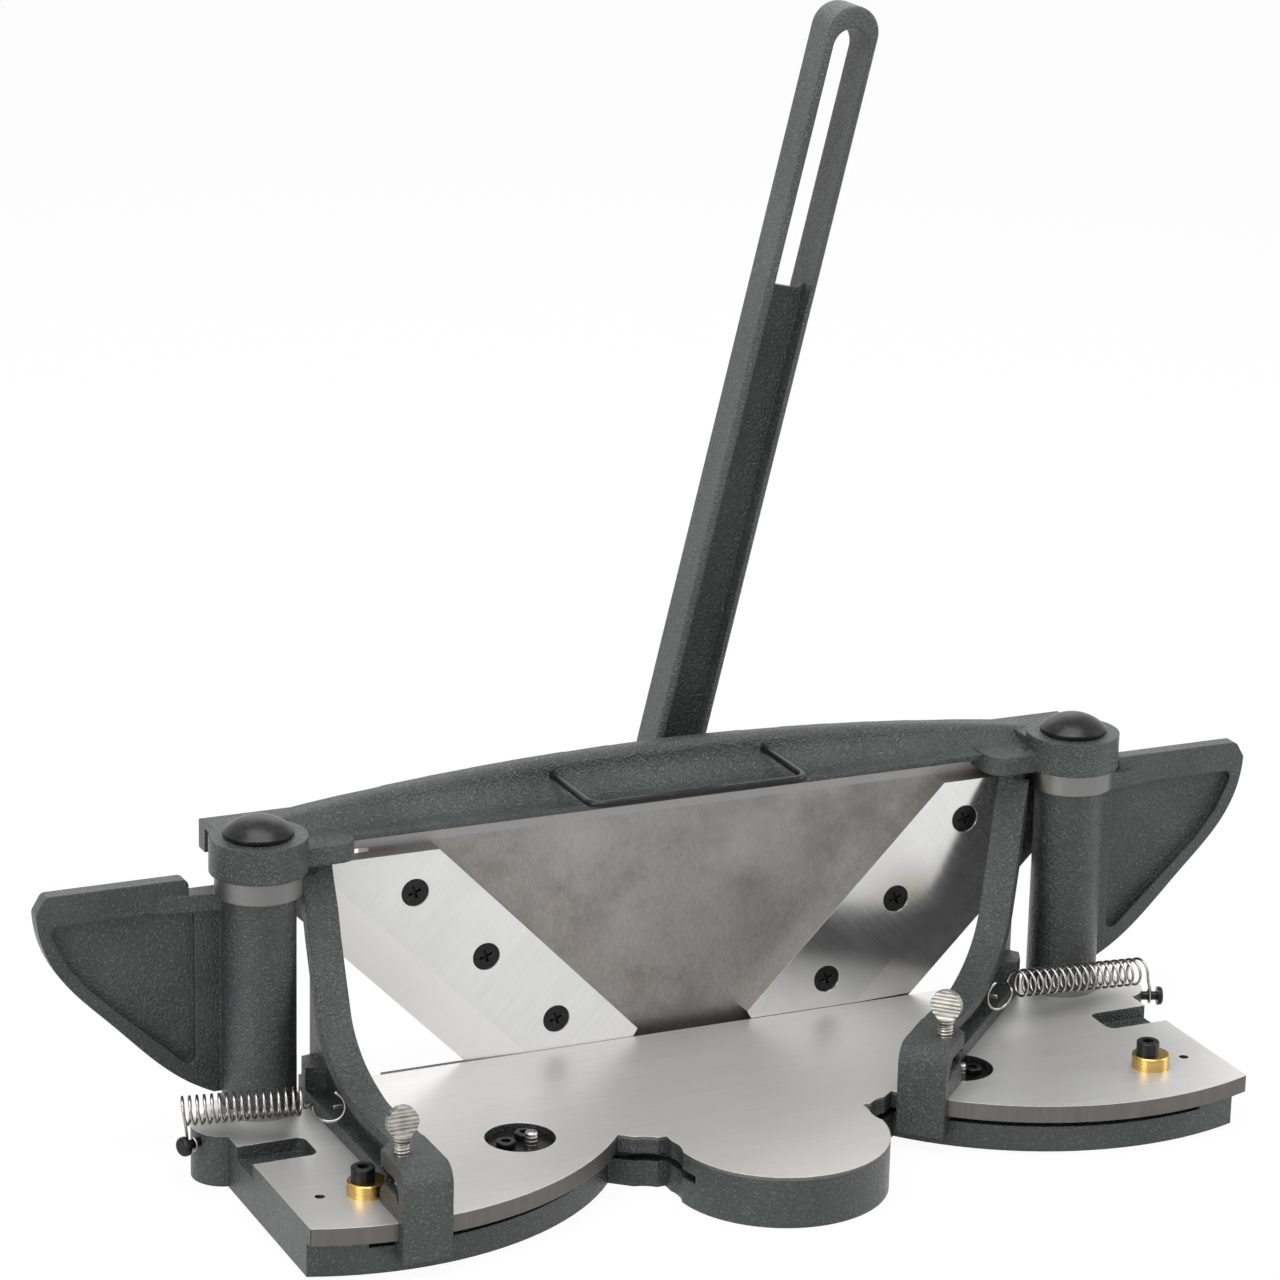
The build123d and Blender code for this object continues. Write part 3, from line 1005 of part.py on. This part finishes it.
spring_anchor_screws = grouped(spring_stud(-1), spring_stud(1))
hook_left = Vector(-EAR_X - HOOK_OUT * cos(STUD_TURN), EAR_Y - HOOK_OUT * sin(STUD_TURN), STUD_Z)
hook_right = Vector(EAR_X + HOOK_OUT * cos(STUD_TURN), EAR_Y - HOOK_OUT * sin(STUD_TURN), STUD_Z)
left_spring = spring(hook_left, Vector(-cos(STUD_TURN), -sin(STUD_TURN), 0),
                     Vector(-EAR_X - 21.0, -19.5, 34.3), Vector(-188.0, -40.2, 40.0),
                     Vector(-178.4, -44.7, PIN_Z))
right_spring = spring(hook_right, Vector(cos(STUD_TURN), -sin(STUD_TURN), 0),
                      Vector(EAR_X + 8.6, -21.8, 32.7), Vector(151.0, -33.4, 41.0),
                      Vector(141.7, -35.6, PIN_Z))
left_stop = brass_stop(-STOP_X, -STOP_X - STOP_OFF)
right_stop = brass_stop(STOP_X, STOP_X - STOP_OFF)

# ---- written nodes --------------------------------------------------------------------------
pieces = {
    "base_casting": base_casting.part,
    "left_post_wing": left_post_wing,
    "right_post_wing": right_post_wing,
    "top_beam": top_beam.part,
    "tie_bolts": tie_bolts,
    "tie_bolt_nuts": tie_bolt_nuts.part,
    "wire_guard": wire_guard.part,
    "recess_plates": recess_plates.part,
    "recess_screws": recess_screws,
    "angle_pins": angle_pins.part,
    "stop_screws": stop_screws,
    "arm_pivot_pins": arm_pivot_pins.part,
    "carriage_casting": Pos(REST_SHIFT, 0, 0) * carriage_casting.part,
    "left_blade": Pos(REST_SHIFT, 0, 0) * left_blade,
    "right_blade": Pos(REST_SHIFT, 0, 0) * right_blade,
    "blade_screws": Pos(REST_SHIFT, 0, 0) * blade_screws.part,
    "rack_bar": Pos(REST_SHIFT, 0, 0) * rack_bar.part,
    "rack_screws": Pos(REST_SHIFT, 0, 0) * rack_screws,
    "gear_sector": gear_sector.part,
    "lever_casting": lever_casting.part,
    "lever_bushing": lever_bushing.part,
    "sector_screws": sector_screws,
    "lever_pivot_stud": lever_pivot_stud.part,
    "pivot_retainer": pivot_retainer.part,
    "pivot_screw": pivot_screw,
    "pivot_nut": pivot_nut.part,
    "lever_bracket": lever_bracket.part,
    "bracket_screws": bracket_screws,
    "left_fence_arm": left_fence_arm,
    "right_fence_arm": right_fence_arm,
    "left_clamp_shoe": left_shoe,
    "right_clamp_shoe": right_shoe,
    "left_thumb_screw": left_thumb,
    "right_thumb_screw": right_thumb,
    "left_spring_pin": left_pin.part,
    "right_spring_pin": right_pin,
    "spring_anchor_screws": spring_anchor_screws,
    "left_arm_spring": left_spring,
    "right_arm_spring": right_spring,
    "left_brass_stop": left_stop,
    "right_brass_stop": right_stop,
}
os.makedirs("parts", exist_ok=True)
for name, piece in pieces.items():
    piece.label = name
    export_step(piece, f"parts/{name}.step")
    print(name, round(piece.volume))
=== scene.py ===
from math import cos, pi, radians, sin, sqrt
import bpy
import numpy as np
from mathutils import Matrix, Vector


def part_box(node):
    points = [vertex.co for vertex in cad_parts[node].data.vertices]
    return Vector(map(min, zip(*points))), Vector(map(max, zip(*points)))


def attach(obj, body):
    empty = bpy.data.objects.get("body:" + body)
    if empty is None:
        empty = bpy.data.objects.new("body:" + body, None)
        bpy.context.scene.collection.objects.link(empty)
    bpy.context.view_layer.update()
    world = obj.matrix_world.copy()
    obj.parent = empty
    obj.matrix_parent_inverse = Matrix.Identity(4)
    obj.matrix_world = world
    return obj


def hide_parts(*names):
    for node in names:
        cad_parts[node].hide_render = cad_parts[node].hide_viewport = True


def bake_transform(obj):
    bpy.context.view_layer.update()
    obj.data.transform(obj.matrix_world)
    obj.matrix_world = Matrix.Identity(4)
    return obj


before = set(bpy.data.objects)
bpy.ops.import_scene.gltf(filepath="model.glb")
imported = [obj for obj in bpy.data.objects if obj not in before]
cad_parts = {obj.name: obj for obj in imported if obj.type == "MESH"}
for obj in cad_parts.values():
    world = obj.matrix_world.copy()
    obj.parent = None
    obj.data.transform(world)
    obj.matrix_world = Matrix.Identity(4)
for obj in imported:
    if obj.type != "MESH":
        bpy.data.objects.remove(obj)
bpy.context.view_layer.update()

# ---- Studio --------------------------------------------------------------------------------
# The camera stands to the front left, a little above the machine. A white sweep, a broad
# overhead panel, one at each side and a weak one behind give the even light of a catalogue.
CAMERA_AT = (-0.7931, -1.6853, 0.7884)
YAW, PITCH, ROLL = 0.4295, 0.3025, 0.0225
SENSOR, FOCAL_PIXELS, FRAME_PIXELS = 36, 4571.03, 1280
forward = Vector((sin(YAW) * cos(PITCH), cos(YAW) * cos(PITCH), -sin(PITCH)))
level = Vector((cos(YAW), -sin(YAW), 0))
upward = level.cross(forward)
right = level * cos(ROLL) + upward * sin(ROLL)
above = upward * cos(ROLL) - level * sin(ROLL)
camera_data = bpy.data.cameras.new("camera")
camera_data.sensor_width = SENSOR
camera_data.lens = SENSOR * FOCAL_PIXELS / FRAME_PIXELS
camera = bpy.data.objects.new("camera", camera_data)
aimed = Matrix((right, above, -forward)).transposed().to_4x4()
camera.matrix_world = Matrix.Translation(CAMERA_AT) @ aimed
bpy.context.scene.collection.objects.link(camera)
bpy.context.scene.camera = camera
bpy.context.scene.view_settings.view_transform = "Standard"


def panel(name, at, aim, size, power):
    """Rectangular area lamp at a place, turned to face a point."""
    lamp = bpy.data.lights.new(name, "AREA")
    lamp.shape = "RECTANGLE"
    lamp.size, lamp.size_y = size
    lamp.energy = power
    holder = bpy.data.objects.new(name, lamp)
    holder.location = at
    holder.rotation_euler = (Vector(aim) - Vector(at)).to_track_quat("-Z", "Y").to_euler()
    bpy.context.scene.collection.objects.link(holder)


panel("overhead", (-0.2, -0.3, 1.9), (0, 0, 0.1), (1.6, 1.2), 29)
panel("left_side", (-1.9, -0.9, 1.0), (0, 0, 0.15), (1.0, 1.4), 22)
panel("right_side", (1.9, -0.6, 0.9), (0, 0, 0.15), (0.7, 1.4), 14)
panel("behind", (0.6, 1.8, 1.4), (0, 0, 0.1), (1.6, 1.0), 6)


class Val:
    """A shader value; the usual operators add its Math nodes."""

    def __init__(self, tree, socket):
        self.tree = tree
        self.socket = socket

    def math(self, operation, *other):
        """One Math node on this value and, where given, a second."""
        return self.tree.math(operation, self, *other)

    def __add__(self, other):
        return self.math("ADD", other)

    def __sub__(self, other):
        return self.math("SUBTRACT", other)

    def __mul__(self, other):
        return self.math("MULTIPLY", other)

    def __rsub__(self, other):
        return self.tree.math("SUBTRACT", other, self)

    __radd__ = __add__
    __rmul__ = __mul__

    def step(self, low, high):
        """0 below low, 1 above high, and a straight ramp between."""
        return self.tree.node("ShaderNodeMapRange", {"clamp": True},
                              {0: self, 1: low, 2: high, 3: 0.0, 4: 1.0})


class Tree:
    """The node tree of a material or a world; `node` adds any node to it."""

    def __init__(self, owner):
        owner.use_nodes = True
        self.nodes = owner.node_tree.nodes
        self.links = owner.node_tree.links

    def feed(self, socket, value):
        """Links a value to an input, or sets the number or colour that the input holds."""
        if isinstance(value, Val):
            self.links.new(value.socket, socket)
        elif isinstance(value, tuple) and socket.type == "RGBA":
            socket.default_value = (*value, 1)
        else:
            socket.default_value = value

    def node(self, kind, settings, inputs, output=0):
        """Adds a node, sets its properties, then its inputs by name or number."""
        made = self.nodes.new(kind)
        for key, value in settings.items():
            setattr(made, key, value)
        for key, value in inputs.items():
            self.feed(made.inputs[key], value)
        return Val(self, made.outputs[output])

    def math(self, operation, *values):
        """One Math node on one or two values."""
        return self.node("ShaderNodeMath", {"operation": operation}, dict(enumerate(values)))

    def parts(self, vector):
        """The X, Y and Z of a vector value."""
        split = self.node("ShaderNodeSeparateXYZ", {}, {0: vector}).socket.node
        return [Val(self, output) for output in split.outputs]

    def seen(self, ray):
        """1 where the ray that looks is of this kind, such as Camera or Glossy."""
        return self.node("ShaderNodeLightPath", {}, {}, f"Is {ray} Ray")


class Finish(Tree):
    """A material with one Principled shader, patterned on Object coordinates."""

    def __init__(self, name, **settings):
        self.material = bpy.data.materials.new(name)
        super().__init__(self.material)
        self.shader = self.nodes["Principled BSDF"]
        for socket, value in settings.items():
            self.set(socket.replace("_", " "), value)
        self.place = self.node("ShaderNodeTexCoord", {}, {}, "Object")
        self.x, self.y, self.z = self.parts(self.place)

    def set(self, socket, value):
        """Sets or links one input of the Principled shader."""
        self.feed(self.shader.inputs[socket], value)

    def stretched(self, scale, turn=(0, 0, 0)):
        """Object coordinates turned, then scaled to so many cells per metre each way."""
        lengths = tuple(1 / s for s in scale)
        return self.node("ShaderNodeMapping", {"vector_type": "TEXTURE"},
                         {"Vector": self.place, "Scale": lengths, "Rotation": turn})

    def noise(self, scale, detail, where=None, rough=0.5):
        """Noise from 0 to 1; scale is in cells per metre."""
        return self.node("ShaderNodeTexNoise", {},
                         {"Vector": where or self.place, "Scale": scale,
                          "Detail": detail, "Roughness": rough})

    def mix(self, share, low, high):
        """The low colour at share 0, the high one at 1."""
        return self.node("ShaderNodeMix", {"data_type": "RGBA"}, {0: share, 6: low, 7: high}, 2)

    def bump(self, height, strength, distance, round_edge):
        """Bump on top of rounded edges; distances in metres."""
        edge = self.node("ShaderNodeBevel", {"samples": 4}, {"Radius": round_edge})
        self.set("Normal", self.node("ShaderNodeBump", {},
                                     {"Height": height, "Strength": strength,
                                      "Distance": distance, "Normal": edge}))


# The sweep lies just under the machine. The camera and reflections see mostly its white
# glow, so only a faint shadow of the machine is left on it.
FLOOR_HALF, FLOOR_Z = 6, -0.0006
GLOW_SEEN, GLOW_REFLECTED = 0.94, 0.8
corners = [(x * FLOOR_HALF, y * FLOOR_HALF, 0) for x, y in ((-1, -1), (1, -1), (1, 1), (-1, 1))]
floor_mesh = bpy.data.meshes.new("floor")
floor_mesh.from_pydata(corners, [], [(0, 1, 2, 3)])
floor = bpy.data.objects.new("floor", floor_mesh)
floor.location.z = FLOOR_Z
bpy.context.scene.collection.objects.link(floor)
sweep = Finish("white_sweep", Base_Color=(0.8, 0.8, 0.8), Roughness=1.0)
lit = Val(sweep, sweep.shader.outputs[0])
glow = sweep.node("ShaderNodeEmission", {}, {"Color": (1.0, 1.0, 1.0), "Strength": 1.0})
glow_share = sweep.seen("Camera") * GLOW_SEEN + sweep.seen("Glossy") * GLOW_REFLECTED
surface = sweep.node("ShaderNodeMixShader", {}, {0: glow_share, 1: lit, 2: glow})
sweep.feed(sweep.nodes["Material Output"].inputs[0], surface)
floor_mesh.materials.append(sweep.material)

# The world is white, and weaker as a light than it looks to the camera and in reflections.
WORLD_LIGHT, WORLD_SEEN = 0.55, 1.0
world = bpy.data.worlds.new("studio")
bpy.context.scene.world = world
air = Tree(world)
strength = air.node("ShaderNodeMapRange", {}, {0: air.seen("Camera") + air.seen("Glossy"),
                                               3: WORLD_LIGHT, 4: WORLD_SEEN})
backdrop = air.nodes["Background"]
air.feed(backdrop.inputs["Strength"], strength)
air.feed(backdrop.inputs["Color"], (1.0, 1.0, 1.0))


# ---- Painted castings ----------------------------------------------------------------------
# Grey iron castings under dark grey paint: coarse sand texture, a slight sheen, and fine pale
# specks painted into the colour as glints of light on the paint.
def toned(share, colour):
    """The colour with each part multiplied by a share."""
    return tuple(share * v for v in colour)


def paint(name, tone=1.0, grain_and_glints=1.0):
    """Dark grey casting paint with sand texture and pale specks painted in as glints."""
    coat = Finish(name, Metallic=0.0, Specular_IOR_Level=0.62)
    broad = coat.noise(28, 3)
    sand = coat.noise(980, 3, rough=0.6)
    lumps = coat.noise(300, 2)
    dark = toned(tone, (0.013, 0.0143, 0.0147))
    pale = toned(tone, (0.031, 0.0335, 0.0340))
    # Painted glints: pale specks in the colour where the sand noise is high stand in for glints of
    # light.
    glint_grey = toned(tone, (0.19, 0.20, 0.204))
    painted_glints = sand.step(0.55, 0.68) * (0.45 * grain_and_glints)
    coat.colour = coat.mix(painted_glints, coat.mix(broad.step(0.3, 0.7), dark, pale), glint_grey)
    coat.rough = lumps.step(0.2, 0.9) * 0.10 + 0.24
    coat.relief = sand + lumps * 0.3
    coat.set("Base Color", coat.colour)
    coat.set("Roughness", coat.rough)
    coat.bump(coat.relief, 1.0, 0.0012 * grain_and_glints, 0.0014)
    return coat


def dress(finish, *names):
    """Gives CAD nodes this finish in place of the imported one."""
    for name in names:
        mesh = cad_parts[name].data
        mesh.materials.clear()
        mesh.materials.append(finish.material)


dress(paint("casting_paint"), "top_beam", "lever_bracket", "left_fence_arm", "right_fence_arm",
      "lever_casting", "left_clamp_shoe", "right_clamp_shoe")


# ---- Base ----------------------------------------------------------------------------------
# One flat iron casting. Its top and the rim along its front lobes are ground bright; the
# sides below, the pockets and the rear way keep the paint.
def ground_steel(finish, along, tone):
    """Colour, roughness and scratches of ground steel, the scratches drawn out one way."""
    scratch = finish.noise(1.0, 4, where=along, rough=0.7)
    cloud = finish.noise(9, 3)
    colour = finish.mix(scratch.step(0.25, 0.8), toned(0.88, tone), tone)
    colour = finish.mix(cloud.step(0.45, 0.8) * 0.4, colour, toned(0.72, tone))
    return colour, scratch * 0.12 + cloud * 0.10 + 0.22, scratch


TABLE_TOP = 0.0224                      # the ground top starts here
RIM_FOOT = 0.0150                       # foot of the bright rim on the outer lobes,
CENTRE_RIM_FOOT = 0.0212                # and on the centre lobe,
CENTRE_HALF = 0.070                     # which lies within this X either way
RIM_HALF, RIM_REAR = 0.2156, -0.070     # the rim ends at these X and Y
base = paint("base_paint", tone=0.9, grain_and_glints=0.9)
steel, steel_rough, scratch = ground_steel(base, base.stretched((30, 900, 30)),
                                           (0.68, 0.675, 0.668))
upness = base.parts(base.node("ShaderNodeNewGeometry", {}, {}, "Normal"))[2]
top = base.z.step(TABLE_TOP - 0.0002, TABLE_TOP) * upness.step(0.8, 0.9)
width = base.x.math("ABSOLUTE")
centre_lobe = 1 - width.step(CENTRE_HALF, CENTRE_HALF + 0.0005)
rim_foot = centre_lobe * (CENTRE_RIM_FOOT - RIM_FOOT) + RIM_FOOT
front = 1 - base.y.step(RIM_REAR, RIM_REAR + 0.0005)
inner = 1 - width.step(RIM_HALF, RIM_HALF + 0.0002)
rim = (base.z - rim_foot).step(-0.0001, 0.0001) * front * inner
bare = top.math("MAXIMUM", rim)
# Painted shade: the rim's upright face gets the top's ground steel, made much darker.
shaded_rim_steel = base.mix(scratch, (0.10, 0.098, 0.094), (0.19, 0.186, 0.178))
bare_rough = steel_rough + 0.09 + (1 - top) * 0.10
base.set("Base Color", base.mix(bare, base.colour, base.mix(top, shaded_rim_steel, steel)))
base.set("Roughness", base.rough * (1 - bare) + bare_rough * bare)
base.set("Metallic", bare - top * 0.20)
base.bump(base.relief * (1 - bare) + scratch * bare * 0.02, 1.0, 0.0009, 0.0008)
dress(base, "base_casting")


# ---- Posts and guards ----------------------------------------------------------------------
# Each post and its winged knife guard is one casting. The rings at the top and foot of the
# tube are turned bright.
def band(value, low, high):
    """1 between low and high, 0 outside."""
    return value.step(low - 0.0002, low) * (1 - value.step(high, high + 0.0002))


POST_X, TURNED_R = 0.193, 0.0195
HEAD_RING, FOOT_RING = (0.1193, 0.1290), (0.0220, 0.0263)
post = paint("post_paint", grain_and_glints=0.8)
turned, turned_rough, _ = ground_steel(post, post.stretched((20, 20, 2500)), (0.22, 0.22, 0.218))
from_axis = (post.x.math("ABSOLUTE") - POST_X).math("ABSOLUTE")
ring = (band(post.z, *HEAD_RING) + band(post.z, *FOOT_RING)).math("MINIMUM", 1.0)
ring = ring * (1 - from_axis.step(TURNED_R, TURNED_R + 0.0002))
post.set("Base Color", post.mix(ring, post.colour, turned))
post.set("Roughness", post.rough * (1 - ring) + (turned_rough + 0.1) * ring)
post.set("Metallic", ring)
post.bump(post.relief * (1 - ring), 1.0, 0.0007, 0.0012)
dress(post, "left_post_wing", "right_post_wing")

# ---- Knives --------------------------------------------------------------------------------
# Hardened steel knives, surface ground across their width and a little clouded by use, with
# a brighter grind along the cutting edge.
GRIND_WIDTH = 0.0197


def knife_steel(name, node, side, coarse, dull):
    """Ground steel scratched square to the knife's edge; coarse is roughness added."""
    blade = Finish(name, Metallic=1 - dull)
    along = blade.stretched((26, 26, 900), (0, side * radians(45), 0))
    colour, rough, marks = ground_steel(blade, along, (0.78, 0.78, 0.775))
    mottle = blade.noise(34, 4, rough=0.6).step(0.35, 0.7)
    colour = blade.mix(mottle * 0.35, colour, (0.62, 0.615, 0.605))
    lowest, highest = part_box(node)
    edge = (highest.x if side > 0 else -lowest.x) - highest.z
    across = (edge - (blade.x * side - blade.z)) * sqrt(0.5)
    grind = 1 - across.step(GRIND_WIDTH, GRIND_WIDTH + 0.0005)
    blade.set("Base Color", blade.mix(grind * 0.6, colour, (0.80, 0.79, 0.775)))
    blade.set("Roughness", (rough + coarse + mottle * 0.06) * (1 - grind * 0.08))
    blade.bump(marks + mottle * 0.8, 0.15, 0.00006, 0.0003)
    dress(blade, node)


knife_steel("left_knife_steel", "left_blade", -1, coarse=0.12, dull=0.25)
knife_steel("right_knife_steel", "right_blade", 1, coarse=-0.15, dull=0.0)

# ---- Carriage ------------------------------------------------------------------------------
# A milled iron plate, brown-grey and stained, with the mill's marks running across, and a
# ground rail along its top.
RAIL_FOOT = 0.1236
plate = Finish("milled_plate", Metallic=0.9)
mill = plate.noise(1.0, 4, where=plate.stretched((1300, 60, 380)), rough=0.7)
stain = plate.noise(22, 5, rough=0.65)
worn = plate.noise(7, 3)
brown = plate.mix(mill.step(0.2, 0.8), (0.215, 0.195, 0.180), (0.36, 0.342, 0.328))
brown = plate.mix(stain.step(0.45, 0.62) * 0.6, brown, (0.150, 0.136, 0.126))
brown = plate.mix(worn.step(0.48, 0.66) * 0.6, brown, (0.47, 0.46, 0.45))
rail = plate.z.step(RAIL_FOOT, RAIL_FOOT + 0.0006)
plate.set("Base Color", plate.mix(rail, brown, (0.33, 0.325, 0.32)))
plate.set("Roughness", mill * 0.2 + stain * 0.22 + 0.24)
plate.bump(mill + stain, 0.35, 0.0001, 0.0005)
dress(plate, "carriage_casting")

# ---- Rack, sector and pivot stud -----------------------------------------------------------
# Plain machined steel, left bare, with marks that run no one way.
bright = Finish("machined_steel", Metallic=1.0)
colour, rough, marks = ground_steel(bright, bright.stretched((300, 300, 300)),
                                    (0.48, 0.475, 0.465))
bright.set("Base Color", colour)
bright.set("Roughness", rough + 0.08)
bright.bump(marks, 0.2, 0.0001, 0.0004)
dress(bright, "rack_bar", "gear_sector", "lever_pivot_stud")

# ---- Black fastenings ----------------------------------------------------------------------
# Screws, domed tie bolts and their nuts, arm pivot pins, the round plates in the recesses and
# the bent wire guard, all blackened steel.
black = Finish("blackened_steel", Metallic=0.6)
wear = black.noise(420, 3)
black.set("Base Color", black.mix(wear.step(0.55, 0.8), (0.012, 0.012, 0.013),
                                  (0.035, 0.035, 0.037)))
black.set("Roughness", wear * 0.2 + 0.22)
black.bump(wear, 0.15, 0.0001, 0.0004)
dress(black, "arm_pivot_pins", "tie_bolts", "tie_bolt_nuts", "wire_guard", "recess_plates",
      "recess_screws", "stop_screws", "rack_screws", "blade_screws", "sector_screws",
      "pivot_screw", "pivot_nut", "pivot_retainer", "bracket_screws", "spring_anchor_screws")

# ---- Brass ---------------------------------------------------------------------------------
# Turned brass stop discs and the bronze bushing of the lever, with fine lathe marks.
brass = Finish("turned_brass", Metallic=1.0)
turning = brass.noise(1.0, 3, where=brass.stretched((40, 40, 3000)))
brass.set("Base Color", brass.mix(turning.step(0.3, 0.7), (0.50, 0.31, 0.085),
                                  (0.68, 0.47, 0.16)))
brass.set("Roughness", turning * 0.12 + 0.20)
brass.bump(turning, 0.15, 0.00005, 0.0005)
dress(brass, "left_brass_stop", "right_brass_stop", "lever_bushing")

# ---- Zinc ----------------------------------------------------------------------------------
# Thumb screws, angle pins and the springs' pins, plated with zinc. Fine ridges run round the
# screws' discs, where the fingers hold them.
RIDGE_WAVE = 3600               # radians per metre, so a ridge every 1.7 mm
zinc = Finish("zinc_plate", Metallic=1.0)
dull = zinc.noise(260, 3)
# Painted highlight and shade: the colour is lighter on each ridge's crest and darker in its
# groove.
ridges_and_shade = (zinc.z * RIDGE_WAVE).math("SINE") * 0.5 + 0.5
zinc.set("Base Color", zinc.mix(dull.step(0.3, 0.7) * 0.5 + ridges_and_shade * 0.5, (0.20, 0.19, 0.17),
                                (0.60, 0.58, 0.54)))
zinc.set("Roughness", dull * 0.2 + 0.24)
zinc.bump(ridges_and_shade + dull * 0.3, 0.6, 0.00025, 0.0004)
dress(zinc, "left_thumb_screw", "right_thumb_screw", "angle_pins", "left_spring_pin",
      "right_spring_pin")

# ---- Arm springs ---------------------------------------------------------------------------
# Extension springs of round bright wire. A hook passes round the stud screw in the base, the
# coil lies over the table, and a large open ring holds the pin on the arm.
COIL_R, WIRE_R, RING_R, HOOK_R, TURNS = 0.0058, 0.00062, 0.0067, 0.0030, 16.5
BOSS_X, BOSS_Y, STUD_Z = 0.213, -0.012, 0.0185      # the boss on the base that takes the stud
STUD_TURN, STUD_REACH = radians(22), 0.0175         # its direction, and where the hook holds it
wire = Finish("spring_wire", Metallic=1.0)
tint = wire.noise(300, 2)
wire.set("Base Color", wire.mix(tint, (0.22, 0.21, 0.20), (0.46, 0.445, 0.42)))
wire.set("Roughness", tint * 0.15 + 0.18)


def unit(vector):
    """The vector at length one."""
    return vector / np.linalg.norm(vector)


def turned_arc(middle, first, second, radius, start, end, steps):
    """Points middle + radius (first cos a + second sin a), a running from start to end degrees."""
    angle = np.radians(np.linspace(start, end, steps))[:, None]
    return middle + radius * (first * np.cos(angle) + second * np.sin(angle))


def bridged(left, right, steps=14):
    """Cubic through the last point of one run and the first of the next, in their directions."""
    p, q = left[-1], right[0]
    reach = np.linalg.norm(q - p) * 1.1
    u, v = unit(left[-1] - left[-2]) * reach, unit(right[1] - right[0]) * reach
    t = np.linspace(0, 1, steps)[1:-1, None]
    return ((2 * t**3 - 3 * t**2 + 1) * p + (t**3 - 2 * t**2 + t) * u
            + (3 * t**2 - 2 * t**3) * q + (t**3 - t**2) * v)


def round_wire(name, path, radius, sides=10):
    """Ring of points square to the path at each step, kept from twisting, ends capped."""
    ahead = np.gradient(path, axis=0)
    ahead /= np.linalg.norm(ahead, axis=1)[:, None]
    normal = np.empty_like(path)
    normal[0] = unit(np.cross(ahead[0], (0.31, 0.22, 0.92)))
    for i in range(1, len(path)):
        normal[i] = unit(normal[i - 1] - ahead[i] * np.dot(normal[i - 1], ahead[i]))
    other = np.cross(ahead, normal)
    angle = np.linspace(0, 2 * pi, sides, endpoint=False)
    rings = (path[:, None] + radius * (normal[:, None] * np.cos(angle)[:, None]
                                       + other[:, None] * np.sin(angle)[:, None]))
    rows, column = np.arange(len(path) - 1)[:, None] * sides, np.arange(sides)
    after = (column + 1) % sides
    quads = np.stack([rows + column, rows + after, rows + sides + after,
                      rows + sides + column], axis=2).reshape(-1, 4)
    last = (len(path) - 1) * sides
    faces = quads.tolist() + [list(range(sides))[::-1], list(range(last, last + sides))]
    mesh = bpy.data.meshes.new(name)
    mesh.from_pydata(rings.reshape(-1, 3).tolist(), [], faces)
    mesh.polygons.foreach_set("use_smooth", [True] * len(quads) + [False, False])
    made = bpy.data.objects.new(name, mesh)
    bpy.context.scene.collection.objects.link(made)
    return made


def arm_spring(name, node, side, coil_start, coil_end, ring):
    """Hook, coil and end ring of one spring, made as one wire that stays with the base."""
    up = np.array((0, 0, 1.0))
    coil_start, coil_end, ring = map(np.array, (coil_start, coil_end, ring))
    out = np.array((side * cos(STUD_TURN), -sin(STUD_TURN), 0))
    stud = np.array((side * BOSS_X, BOSS_Y, STUD_Z)) + out * STUD_REACH
    along = unit(coil_end - coil_start)
    flat = unit(np.array((along[0], along[1], 0)))
    across = np.array((-flat[1], flat[0], 0))
    over = np.cross(along, across)
    hook_x = np.array((-out[1], out[0], 0))
    hook_x = hook_x * (1 if np.dot(hook_x, across) > 0 else -1)
    hook = turned_arc(stud, hook_x, up, HOOK_R, -270, 0, 30)
    share = np.linspace(0, 1, int(TURNS * 24) + 1)[:, None]
    coil = turned_arc(coil_start + (coil_end - coil_start) * share, across, over, COIL_R,
                      0, 360 * TURNS, len(share))
    loop = turned_arc(ring, flat, up, RING_R, 180, 430, 36)
    path = np.concatenate((hook, bridged(hook, coil), coil, bridged(coil, loop), loop))
    made = round_wire(name, path, WIRE_R)
    made.data.materials.append(wire.material)
    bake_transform(made)
    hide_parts(node)


# The right coil passes close to its post.
arm_spring("left_spring_wire", "left_arm_spring", -1,
           coil_start=(-0.2340, -0.0195, 0.0343), coil_end=(-0.1880, -0.0402, 0.0400),
           ring=(-0.1784, -0.0447, 0.0378))
arm_spring("right_spring_wire", "right_arm_spring", 1,
           coil_start=(0.2216, -0.0218, 0.0327), coil_end=(0.1510, -0.0334, 0.0410),
           ring=(0.1417, -0.0356, 0.0378))

# ---- Threads of the thumb screws -----------------------------------------------------------
# A coarse rolled thread shows between the foot of each arm and the screw's grooved disc. It
# is zinc plated with the screw and turns with it.
THREAD_FOOT, THREAD_LENGTH, THREAD_TURNS = 0.0468, 0.0052, 4
THREAD_R, RIDGE_R = 0.0029, 0.00045
for side in ("left", "right"):
    low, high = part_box(f"{side}_thumb_screw")
    centre = (low + high) / 2
    share = np.linspace(0, 1, 35 * THREAD_TURNS + 1)[:, None]
    foot = np.array((centre.x, centre.y, THREAD_FOOT))
    rise = share * np.array((0, 0, THREAD_LENGTH))
    thread = turned_arc(foot + rise, np.array((1.0, 0, 0)), np.array((0, 1.0, 0)), THREAD_R,
                        0, 360 * THREAD_TURNS, len(share))
    ridge = round_wire(f"{side}_thumb_thread", thread, RIDGE_R, sides=8)
    ridge.data.materials.append(zinc.material)
    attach(ridge, f"{side}_thumb")
